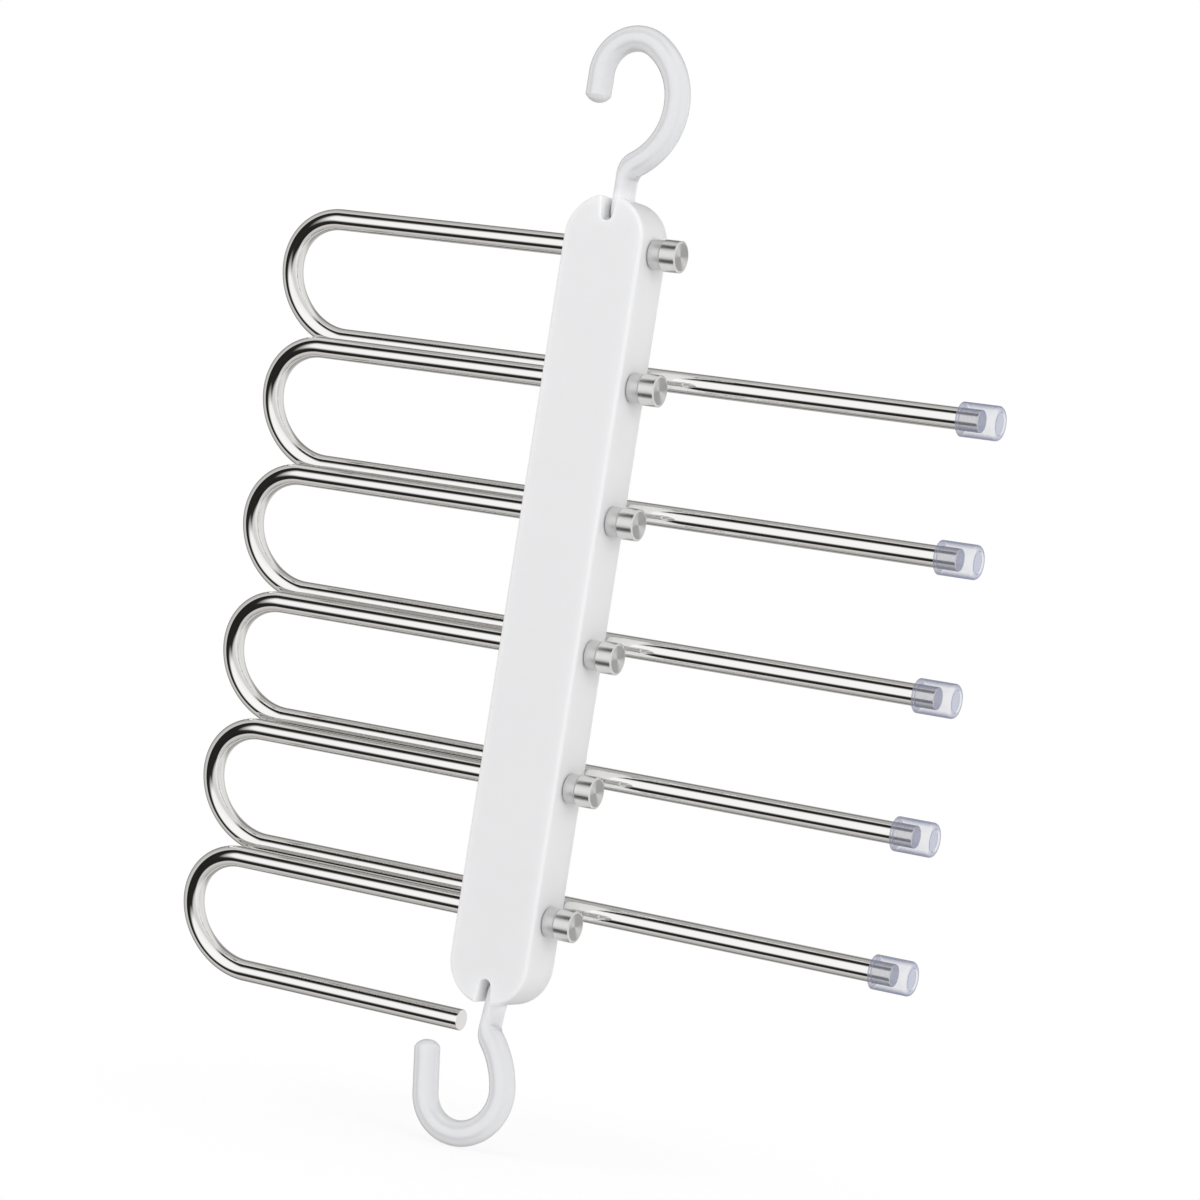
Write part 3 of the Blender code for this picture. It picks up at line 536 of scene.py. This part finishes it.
def bar_rings(place, heading, thick, wide, power, swell):
    """Rings across a bar: place + thick C a + wide S Y, with a the direction square to the heading.

    C and S are the cosine and sine of t raised to a power, with their signs kept: 1 gives an ellipse, and
    less gives a squarer section. On the rear half the swell passes the power to the rear's and adds its share
    of the wedge to C, in proportion to the sine of t.
    """
    t = np.linspace(0, 2 * math.pi, BAR_SIDES, endpoint=False)[None, :]
    rear = swell[:, None] * np.clip(np.sin(t), 0, None)
    power = power[:, None] + (REAR_POWER - TONGUE_POWER) * swell[:, None] * (np.sin(t) > 0)
    across = thick[:, None] * np.sign(np.cos(t)) * np.abs(np.cos(t)) ** power * (1 + REAR_WEDGE * rear)
    deep = wide[:, None] * np.sign(np.sin(t)) * np.abs(np.sin(t)) ** power
    x = place[:, :1] - across * np.sin(heading)[:, None]
    z = place[:, 1:] + across * np.cos(heading)[:, None]
    return np.stack([x, deep, z], axis=-1)


def hook_rings(route):
    """The whole hook: the root turned about its pin, the tongue, the bar and the domed tip.

    Along the root the section is that of the tongue cut at height -R cos t: its width is R sin t and its
    thickness falls off as the superellipse does. From the tongue's end, thickness and power pass to the round
    bar's by a smooth step. The dome is a cap of a sphere with a small arc where it meets the bar.
    """
    flat = TONGUE_THICKNESS / 2
    t = np.linspace(ROOT_START, math.pi / 2, ROOT_RINGS)
    root = np.stack([np.zeros_like(t), -BAR_RADIUS * np.cos(t)], axis=1)
    root_thick = flat * (1 - np.cos(t) ** (2 / TONGUE_POWER)) ** (TONGUE_POWER / 2)
    place, heading = hook_route(route)
    round_share = smoothstep(place[:, 1], TONGUE_LENGTH + route["shank"], TONGUE_BLEND)
    swell = smoothstep(place[:, 1], 0.0, SWELL_LENGTH) * (1 - round_share)
    sphere = (BAR_RADIUS**2 + DOME_HEIGHT**2) / (2 * DOME_HEIGHT)
    slope = math.asin(BAR_RADIUS / sphere)
    cap = np.r_[slope, np.linspace(DOME_SHOULDER * slope, DOME_STOP, DOME_RINGS)]
    corners = np.stack([sphere * np.cos(cap) - sphere + DOME_HEIGHT, sphere * np.sin(cap)], axis=1)
    corners = np.vstack([[-2 * DOME_EDGE, BAR_RADIUS], corners])
    dome = rounded(corners, [DOME_EDGE] + [0.0] * (DOME_RINGS - 1), steps=8)[1:]
    dome = dome[1:] - [dome[0, 0], 0]
    ahead = np.array([math.cos(heading[-1]), math.sin(heading[-1])])
    places = np.vstack([root, place, place[-1] + dome[:, :1] * ahead])
    headings = np.r_[np.full(len(t), math.pi / 2), heading, np.full(len(dome), heading[-1])]
    thick = np.r_[root_thick, flat + (BAR_RADIUS - flat) * round_share, dome[:, 1]]
    wide = np.r_[BAR_RADIUS * np.sin(t), np.full(len(place), BAR_RADIUS), dome[:, 1]]
    bar_power = TONGUE_POWER + (1 - TONGUE_POWER) * round_share
    power = np.r_[np.full(len(t), TONGUE_POWER), bar_power, np.ones(len(dome))]
    swells = np.r_[np.zeros(len(t)), swell, np.zeros(len(dome))]
    return bar_rings(places, headings, thick, wide, power, swells)


hook_white, nodes, links = new_material(
    "milky white acetal", IOR=1.48, Subsurface_Weight=0.8, Subsurface_Radius=(1.0, 1.0, 1.05),
    Subsurface_Scale=2.5 * MM, Coat_Weight=1.0, Coat_Roughness=0.06, Coat_IOR=1.8,
    Sheen_Weight=0.2, Sheen_Roughness=0.25)
shader = nodes["Principled BSDF"].inputs
cloud = noise(nodes, links, 40.0)
spread(nodes, links, cloud, (0.715, 0.717, 0.73), (0.735, 0.737, 0.75), shader["Base Color"])
spread(nodes, links, cloud, 0.20, 0.27, shader["Roughness"])
grain(nodes, links, noise(nodes, links, 300.0), 0.001 * MM)
# Painted light: the tongue's root about the pin, deep in its slot, passes to a lighter white that lifts its
# shade.
paint_in_light(nodes, links, "root", (0.90, 0.90, 0.91))

for node, body, route, tilt in (("top_hook", "upper_hook", UPPER_ROUTE, 0.0),
                                ("bottom_hook", "lower_hook", LOWER_ROUTE, math.pi - LOWER_FOLD)):
    # The lower hook is turned over about its pin, so it is mirrored first to keep its thicker side behind
    pin = np.array([0, 0, hook_pins[body]])
    c, s = math.cos(tilt), math.sin(tilt)
    about_pin = np.array([[1, 0, 0], [0, c, -s], [0, s, c]])
    rings = (hook_rings(route) * (1, math.copysign(1, c), 1)) @ about_pin.T + pin
    hook = make_piece(node + "_moulding", rings, hook_white)
    hole = [(-BAR_RADIUS, PIN_RADIUS + SEAT_GAP), (BAR_RADIUS, PIN_RADIUS + SEAT_GAP)]
    carve(hook, make_piece("pin_hole", turned(hole, pin, (1, 0, 0), sides=32), hook_white), crease=30)
    # Painted light: full within a bar's radius of the pin, fading out by twice that distance.
    mark(hook, "root", np.clip(2 - np.linalg.norm(points_of(hook) - pin, axis=1) / BAR_RADIUS, 0, 1))
    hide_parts(node)
    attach(hook, body)


# Swing arms
# Six equal arms are cold bent from 9 mm stainless tube with a 0.8 mm wall, then polished to a mirror. The
# pivot leg crosses the spine, the long leg's end is closed and rounded, and the last long leg is cut short.

TUBE_WALL = 0.8 * MM
TUBE_END_WALL = 1.2 * MM
TUBE_END_ROUND = 0.5 * MM
TUBE_SIDES = 56
BEND_STEPS = 56
SHORT_LEG_GAP = 5.0 * MM  # from the spine's side to the end of the last arm's cut leg
PIVOT_END_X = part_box("knob_spacer_1")[1].x

# The first cap's box shows where the long leg lies. Half its distance from the pivot is the bend's radius.
leg_place = sum(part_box("end_cap_1"), Vector()) / 2
leg_offset = np.array([leg_place.y, leg_place.z - pivots["arm_1"]])
bend_radius = np.linalg.norm(leg_offset) / 2
leg_way = leg_offset / (2 * bend_radius)


def arm_rings(pivot_z, bend_reach, leg_end):
    """Rings of a U-shaped tube: the outside from the closed leg end to the open pivot end, then the bore.

    A centre on the bend is (b - R sin t, R + R cos t along the way from the pivot to the leg), with t from 0
    at the long leg to half a turn at the pivot leg, and a ring is centre + r (cos a outward + sin a square to
    the arm's plane).
    """
    bend_x = bend_reach + TUBE_RADIUS + bend_radius
    t = np.linspace(0, math.pi, BEND_STEPS + 1)
    bore = TUBE_RADIUS - TUBE_WALL
    end = rounded([(leg_end, bore / 2), (leg_end, TUBE_RADIUS), (leg_end - TUBE_WALL * 3, TUBE_RADIUS)],
                  [TUBE_END_ROUND])
    edge = rounded([(PIVOT_END_X - TUBE_WALL, TUBE_RADIUS), (PIVOT_END_X, TUBE_RADIUS), (PIVOT_END_X, bore)],
                   [TUBE_WALL / 4], hold=0.0)
    outside = bend_x - bend_radius * np.sin(t)
    inside = bend_x - bend_radius * np.sin(t[::-1])
    x = np.r_[end[:, 0], outside, edge[:, 0], inside, leg_end - TUBE_END_WALL]
    turn = np.r_[np.zeros(len(end)), t, np.full(len(edge), math.pi), t[::-1], 0.0]
    radius = np.r_[end[:, 1], np.full(len(t), TUBE_RADIUS), edge[:, 1], np.full(len(t) + 1, bore)]
    down = bend_radius * (1 + np.cos(turn))
    way = np.array([0.0, leg_way[0], leg_way[1]])
    square = np.cross([1.0, 0.0, 0.0], way)
    centre = np.array([0, 0, pivot_z]) + x[:, None] * [1, 0, 0] + down[:, None] * way
    outward = np.cos(turn)[:, None] * way - np.sin(turn)[:, None] * [1, 0, 0]
    a = np.linspace(0, 2 * math.pi, TUBE_SIDES, endpoint=False)[None, :, None]
    return centre[:, None] + radius[:, None, None] * (np.cos(a) * outward[:, None] + np.sin(a) * square)


polished, nodes, links = new_material("polished stainless", Metallic=1.0)
shader = nodes["Principled BSDF"].inputs
drawn = noise(nodes, links, 1.0, (30.0, 2600.0, 1.0), "UV", detail=2.0)
spread(nodes, links, drawn, (0.935, 0.93, 0.915), (0.96, 0.955, 0.94), shader["Base Color"])
spread(nodes, links, noise(nodes, links, 90.0), 0.03, 0.055, shader["Roughness"])
grain(nodes, links, drawn, 0.0004 * MM)

for n, (body, pivot_z) in enumerate(pivots.items(), start=1):
    low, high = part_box(f"swing_arm_{n}")
    leg_end = high.x if n < len(pivots) else -HALF_WIDTH - SHORT_LEG_GAP
    arm = make_piece(f"swing_arm_{n}_tube", arm_rings(pivot_z, low.x, leg_end), polished)
    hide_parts(f"swing_arm_{n}")
    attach(arm, body)


# Pivot collars
# Inside the spine a collar of natural acetal is pressed on each pivot leg. Its lug stops the swing both ways.
# The CAD's own solids stay, because nothing shows them.

collar_resin, nodes, links = new_material("natural acetal", IOR=1.48, Roughness=0.45)
spread(nodes, links, noise(nodes, links, 120.0), (0.70, 0.70, 0.68), (0.75, 0.75, 0.73),
       nodes["Principled BSDF"].inputs["Base Color"])
for n in range(1, len(pivots) + 1):
    collar = frame["nodes"][f"pivot_collar_{n}"]
    collar.data.materials.clear()
    collar.data.materials.append(collar_resin)


# Spacers
# A ring of pearl-grey nylon stands between the spine's side and each knob. It is moulded, with lightly
# rounded edges, and slides on the tube.

SPACER_RADIUS = 6.15 * MM
SPACER_EDGE = 0.5 * MM
spacer_bore = TUBE_RADIUS + SEAT_GAP / 2

pearl, nodes, links = new_material("pearl nylon", IOR=1.53, Metallic=0.6)
shader = nodes["Principled BSDF"].inputs
turning = noise(nodes, links, 1.0, (4200.0, 40.0, 1.0), "UV", detail=1.0)
spread(nodes, links, turning, (0.64, 0.64, 0.64), (0.68, 0.68, 0.68), shader["Base Color"])
spread(nodes, links, noise(nodes, links, 300.0), 0.30, 0.36, shader["Roughness"])
grain(nodes, links, turning, 0.0008 * MM)

for n, (body, pivot_z) in enumerate(pivots.items(), start=1):
    start, end = (corner.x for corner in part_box(f"knob_spacer_{n}"))
    middle = (start + end) / 2
    profile = rounded(
        [(middle, spacer_bore), (start, spacer_bore), (start, SPACER_RADIUS), (end, SPACER_RADIUS),
         (end, spacer_bore), (middle + SEAT_GAP, spacer_bore)],
        [SPACER_EDGE / 2, SPACER_EDGE, SPACER_EDGE, SPACER_EDGE / 2])
    rings = turned(profile, (0, 0, pivot_z), (1, 0, 0), sides=72)
    spacer = make_piece(f"knob_spacer_{n}_ring", rings, pearl, cyclic=True)
    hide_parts(f"knob_spacer_{n}")
    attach(spacer, body)


# Knobs
# Each knob is turned from steel bar, with a shallow cone in its end, a bright chamfer and a spigot that plugs
# the tube. The tool leaves fine rings, so the end face shines in two wedges, and two bright wedges with dark
# between them are also painted into its colour as a painted reflection.

KNOB_RADIUS = 6.6 * MM
CHAMFER_DEPTH = 0.35 * MM
CHAMFER_WIDTH = 0.65 * MM
FACE_RING = 0.3 * MM  # the flat between the cone and the chamfer
CONE_RADIUS = KNOB_RADIUS - CHAMFER_WIDTH - FACE_RING
CONE_DEPTH = 0.5 * MM
# The bright wedges placed here are painted into the colour as a painted reflection.
PAINTED_WEDGE_TURN = math.radians(240.0)  # twice the angle from the top to a bright wedge


def maths(nodes, links, operation, *inputs):
    """The result of a math node on numbers and on linked values."""
    node = nodes.new("ShaderNodeMath")
    node.operation = operation
    for socket, value in zip(node.inputs, inputs):
        if isinstance(value, float):
            socket.default_value = value
        else:
            links.new(value, socket)
    return node.outputs["Value"]


turned_steel, nodes, links = new_material("turned steel", Metallic=1.0, Anisotropic=1.0)
shader = nodes["Principled BSDF"].inputs
rings_cut = noise(nodes, links, 1.0, (5200.0, 25.0, 1.0), "UV", detail=2.0)
place = nodes.new("ShaderNodeTexCoord")
parts = nodes.new("ShaderNodeSeparateXYZ")
links.new(place.outputs["UV"], parts.inputs["Vector"])
outward, around = parts.outputs["X"], parts.outputs["Y"]
# Painted reflection: the end face's base colour runs through two bright and two dark wedges round the axis,
# and is at its brightest beyond the cone.
twice_round = maths(nodes, links, "MULTIPLY_ADD", around, 2 / KNOB_RADIUS, PAINTED_WEDGE_TURN)
wedges = maths(nodes, links, "COSINE", twice_round)
on_side = maths(nodes, links, "GREATER_THAN", outward, CONE_RADIUS)
painted_brightness = maths(nodes, links, "MAXIMUM", wedges, on_side)
shade = maths(nodes, links, "MULTIPLY_ADD", painted_brightness, 0.5, 0.5)
spread(nodes, links, shade, (0.16, 0.16, 0.16), (0.88, 0.88, 0.87), shader["Base Color"])
spread(nodes, links, outward, 0.34, 0.22, shader["Roughness"], start=CONE_RADIUS - 0.1 * MM, stop=CONE_RADIUS)
grain(nodes, links, rings_cut, 0.0006 * MM)
tangent = nodes.new("ShaderNodeTangent")
tangent.direction_type = "UV_MAP"
tangent.uv_map = "surface"
links.new(tangent.outputs["Tangent"], shader["Tangent"])

for n, (body, pivot_z) in enumerate(pivots.items(), start=1):
    spigot_end, face = (corner.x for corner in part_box(f"pivot_knob_{n}"))
    shoulder = PIVOT_END_X + SEAT_GAP
    spigot = TUBE_RADIUS - TUBE_WALL - SEAT_GAP / 2
    profile = rounded(
        [(face - CONE_DEPTH, CHAMFER_DEPTH / 4), (face, CONE_RADIUS), (face, KNOB_RADIUS - CHAMFER_WIDTH),
         (face - CHAMFER_DEPTH, KNOB_RADIUS), (shoulder, KNOB_RADIUS), (shoulder, spigot),
         (spigot_end, spigot), (spigot_end, spigot / 2)],
        [CHAMFER_DEPTH / 6, CHAMFER_DEPTH / 6, CHAMFER_DEPTH / 6, CHAMFER_DEPTH / 2, 0.0, CHAMFER_DEPTH / 2],
        steps=3, hold=0.04 * MM)
    rings = turned(profile, (0, 0, pivot_z), (1, 0, 0), sides=96)
    knob = make_piece(f"pivot_knob_{n}_turned", rings, turned_steel)
    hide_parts(f"pivot_knob_{n}")
    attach(knob, body)


# End caps
# Clear vinyl cups with a faint lilac tint are dipped and pushed over the long legs' ends. The tube shows
# inside, and the solid end has a round rim and a shallow dish.

CAP_RADIUS = 7.0 * MM
CAP_ROUND = 1.6 * MM
CAP_MOUTH_EDGE = 0.6 * MM
DISH_RADIUS = 4.3 * MM
DISH_DEPTH = 0.6 * MM
DISH_EDGE = 0.5 * MM
CAP_OPACITY = (0.18, 0.95)  # of each surface, seen squarely and at its edge

clear_vinyl, nodes, links = new_material(
    "clear lilac vinyl", IOR=1.5, Coat_Weight=1.0, Coat_Roughness=0.04, Coat_IOR=1.8)
shader = nodes["Principled BSDF"].inputs
edge = nodes.new("ShaderNodeLayerWeight")
edge.inputs["Blend"].default_value = 0.5
spread(nodes, links, edge.outputs["Facing"], (0.46, 0.46, 0.53), (0.12, 0.18, 0.42), shader["Base Color"])
spread(nodes, links, noise(nodes, links, 160.0), 0.10, 0.16, shader["Roughness"])
spread(nodes, links, edge.outputs["Facing"], *CAP_OPACITY, shader["Alpha"], start=0.30, stop=0.82)

for n, (body, pivot_z) in enumerate(pivots.items(), start=1):
    if f"end_cap_{n}" not in frame["nodes"]:
        continue
    mouth, end = (corner.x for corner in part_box(f"end_cap_{n}"))
    tube_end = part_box(f"swing_arm_{n}")[1].x
    inner = TUBE_RADIUS + SEAT_GAP / 3
    seat = tube_end + SEAT_GAP / 2
    dish = end - DISH_DEPTH
    profile = rounded(
        [(seat, inner / 3), (seat, inner), (mouth, inner), (mouth, CAP_RADIUS), (end, CAP_RADIUS),
         (end, DISH_RADIUS + DISH_EDGE), (dish, DISH_RADIUS), (dish, inner / 3)],
        [TUBE_END_ROUND, CAP_MOUTH_EDGE / 2, CAP_MOUTH_EDGE, CAP_ROUND, DISH_EDGE / 2, DISH_EDGE / 2],
        steps=10)
    centre = (0, leg_place.y, pivot_z + leg_offset[1])
    cap = make_piece(f"end_cap_{n}_vinyl", turned(profile, centre, (1, 0, 0), sides=72), clear_vinyl)
    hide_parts(f"end_cap_{n}")
    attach(cap, body)


# Floor
# A plain, nearly white floor lies just under the lower hook. It fades into the white background.

FLOOR_RADIUS = 0.50
FLOOR_GAP = 0.4 * MM
FLOOR_FADE = (0.02, 0.22)  # distances from the spine's line, between which it fades out
FLOOR_THINNESS = 0.78  # how see-through it is before that

floor_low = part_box("bottom_hook")[0]
t = np.linspace(0, 2 * math.pi, 96, endpoint=False)
height = np.full_like(t, floor_low.z - FLOOR_GAP)
ring = np.stack([FLOOR_RADIUS * np.cos(t), FLOOR_RADIUS * np.sin(t), height], axis=1)
floor_mesh = bpy.data.meshes.new("floor")
floor_mesh.from_pydata(ring, [], [list(range(len(t)))])
floor = bpy.data.objects.new("floor", floor_mesh)
bpy.context.scene.collection.objects.link(floor)

floor_paint, nodes, links = new_material(
    "pale floor", Base_Color=(1.0, 1.0, 1.0, 1.0), Roughness=0.9, Specular_IOR_Level=0.0)
place = nodes.new("ShaderNodeTexCoord")
distance = nodes.new("ShaderNodeVectorMath")
distance.operation = "DISTANCE"
distance.inputs[1].default_value = (0.0, 0.0, floor_low.z)
fade = nodes.new("ShaderNodeMapRange")
fade.interpolation_type = "SMOOTHSTEP"
fade.inputs["From Min"].default_value, fade.inputs["From Max"].default_value = FLOOR_FADE
fade.inputs["To Min"].default_value = FLOOR_THINNESS
through = nodes.new("ShaderNodeBsdfTransparent")
blend = nodes.new("ShaderNodeMixShader")
links.new(place.outputs["Object"], distance.inputs[0])
links.new(distance.outputs["Value"], fade.inputs["Value"])
links.new(fade.outputs["Result"], blend.inputs["Fac"])
links.new(nodes["Principled BSDF"].outputs["BSDF"], blend.inputs[1])
links.new(through.outputs["BSDF"], blend.inputs[2])
links.new(blend.outputs["Shader"], nodes["Material Output"].inputs["Surface"])
floor_mesh.materials.append(floor_paint)
floor.visible_glossy = False


# Studio
# A white tent: the background is white to the camera and through clear plastic, and lights matt surfaces
# evenly. Metal mirrors a white card in front, a dark gap round it, and grey walls with a second gap behind.

AMBIENT = 0.78
CARD_TILT = math.radians(6.0)  # the cards' axis rises towards the front
studio = bpy.data.worlds.new("white tent")
studio.use_nodes = True
bpy.context.scene.world = studio
nodes, links = studio.node_tree.nodes, studio.node_tree.links
nodes.clear()


def background(colour, strength):
    """A background of one colour, or of a linked one."""
    node = nodes.new("ShaderNodeBackground")
    if isinstance(colour, tuple):
        node.inputs["Color"].default_value = (*colour, 1.0)
    else:
        links.new(colour, node.inputs["Color"])
    node.inputs["Strength"].default_value = strength
    return node.outputs["Background"]


direction = nodes.new("ShaderNodeTexCoord")
along_axis = nodes.new("ShaderNodeVectorMath")
along_axis.operation = "DOT_PRODUCT"
along_axis.inputs[1].default_value = (0.0, math.cos(CARD_TILT), -math.sin(CARD_TILT))
links.new(direction.outputs["Generated"], along_axis.inputs[0])
from_back = maths(nodes, links, "ARCCOSINE", along_axis.outputs["Value"])
cards = nodes.new("ShaderNodeValToRGB")
links.new(maths(nodes, links, "DIVIDE", from_back, math.pi), cards.inputs["Fac"])
# Angle from the front in degrees, and the brightness there. All but the white card are slightly warm.
CARDS = ((0, 1.0), (37, 0.95), (47, 0.02), (68, 0.012), (73, 0.66), (88, 0.55), (116, 0.35), (121, 0.08),
         (127, 0.08), (131, 0.42), (152, 0.36), (158, 0.6), (180, 0.6))
WARMTH = (1.0, 0.975, 0.94)
WHITE_CARD = 0.9
stops = sorted((1 - angle / 180, value) for angle, value in CARDS)
ramp = cards.color_ramp
while len(ramp.elements) < len(stops):
    ramp.elements.new(0.5)
for element, (position, value) in zip(ramp.elements, stops):
    element.position = position
    white = min(1.0, value / WHITE_CARD) ** 4
    element.color = (*(value * (white + (1 - white) * w) for w in WARMTH), 1.0)

# A pale wall on the right, which the knobs' end faces mirror, but not the straight tubes
WALL_EDGE = (0.15, 0.45)  # the direction's X where it begins, and where it stands in full
WALL_SHARE = 0.75
WALL_GREY = 0.9
parts = nodes.new("ShaderNodeSeparateXYZ")
wall_share = nodes.new("ShaderNodeMapRange")
wall_share.inputs["From Min"].default_value, wall_share.inputs["From Max"].default_value = WALL_EDGE
wall_share.inputs["To Max"].default_value = WALL_SHARE
walls = nodes.new("ShaderNodeMix")
walls.data_type = "RGBA"
walls.inputs["B"].default_value = (WALL_GREY, WALL_GREY, WALL_GREY, 1.0)
links.new(direction.outputs["Generated"], parts.inputs["Vector"])
links.new(parts.outputs["X"], wall_share.inputs["Value"])
links.new(wall_share.outputs["Result"], walls.inputs["Factor"])
links.new(cards.outputs["Color"], walls.inputs["A"])

rays = nodes.new("ShaderNodeLightPath")
seen = maths(nodes, links, "MAXIMUM", rays.outputs["Is Camera Ray"], rays.outputs["Is Transmission Ray"])
glossy_mix = nodes.new("ShaderNodeMixShader")
seen_mix = nodes.new("ShaderNodeMixShader")
output = nodes.new("ShaderNodeOutputWorld")
links.new(rays.outputs["Is Glossy Ray"], glossy_mix.inputs["Fac"])
links.new(background((1.0, 1.0, 1.0), AMBIENT), glossy_mix.inputs[1])
links.new(background(walls.outputs["Result"], 1.0), glossy_mix.inputs[2])
links.new(seen, seen_mix.inputs["Fac"])
links.new(glossy_mix.outputs["Shader"], seen_mix.inputs[1])
links.new(background((1.0, 1.0, 1.0), 1.0), seen_mix.inputs[2])
links.new(seen_mix.outputs["Shader"], output.inputs["Surface"])

# Two large soft lamps, which mirrors don't show, model the round forms: places, sizes and watts
LAMPS = (("key", (-0.9, -1.3, 0.5), 1.2, 7.2), ("side", (1.5, -0.6, 0.2), 1.0, 9.0))
LAMP_AIM = Vector((0.0, 0.0, -0.22))
for name, place, size, power in LAMPS:
    lamp = bpy.data.lights.new(name, "AREA")
    lamp.size = size
    lamp.energy = power
    light = bpy.data.objects.new(name, lamp)
    bpy.context.scene.collection.objects.link(light)
    light.location = place
    aim = LAMP_AIM - Vector(place)
    light.rotation_euler = aim.to_track_quat("-Z", "Y").to_euler()
    light.visible_glossy = False


# Camera
# A long lens stands 1.5 m away, to the right of the spine's face and level with its middle. It is turned
# about its own axis by 9 degrees, so that the spine leans in the frame.

CAMERA_AZIMUTH = math.radians(28.5)
CAMERA_ELEVATION = math.radians(0.3)
CAMERA_ROLL = math.radians(8.96)
CAMERA_DISTANCE = 1.5191
CAMERA_LENS = 111.3  # in millimetres
CAMERA_SHIFT = (0.032, -0.0152)

spine_middle = Vector((0.0, 0.0, (pivots["arm_3"] + pivots["arm_4"]) / 2))

level = math.cos(CAMERA_ELEVATION)
ahead = Vector((
    -math.sin(CAMERA_AZIMUTH) * level, math.cos(CAMERA_AZIMUTH) * level, -math.sin(CAMERA_ELEVATION)))
right = Vector((math.cos(CAMERA_AZIMUTH), math.sin(CAMERA_AZIMUTH), 0.0))
above = right.cross(ahead)
right, above = (math.cos(CAMERA_ROLL) * right + math.sin(CAMERA_ROLL) * above,
                math.cos(CAMERA_ROLL) * above - math.sin(CAMERA_ROLL) * right)
lens = bpy.data.cameras.new("camera")
lens.lens = CAMERA_LENS
lens.shift_x, lens.shift_y = CAMERA_SHIFT
camera = bpy.data.objects.new("camera", lens)
bpy.context.scene.collection.objects.link(camera)
turn = Matrix((right, above, -ahead)).transposed().to_4x4()
camera.matrix_world = Matrix.Translation(spine_middle - CAMERA_DISTANCE * ahead) @ turn
bpy.context.scene.camera = camera
bpy.context.scene.view_settings.view_transform = "Standard"
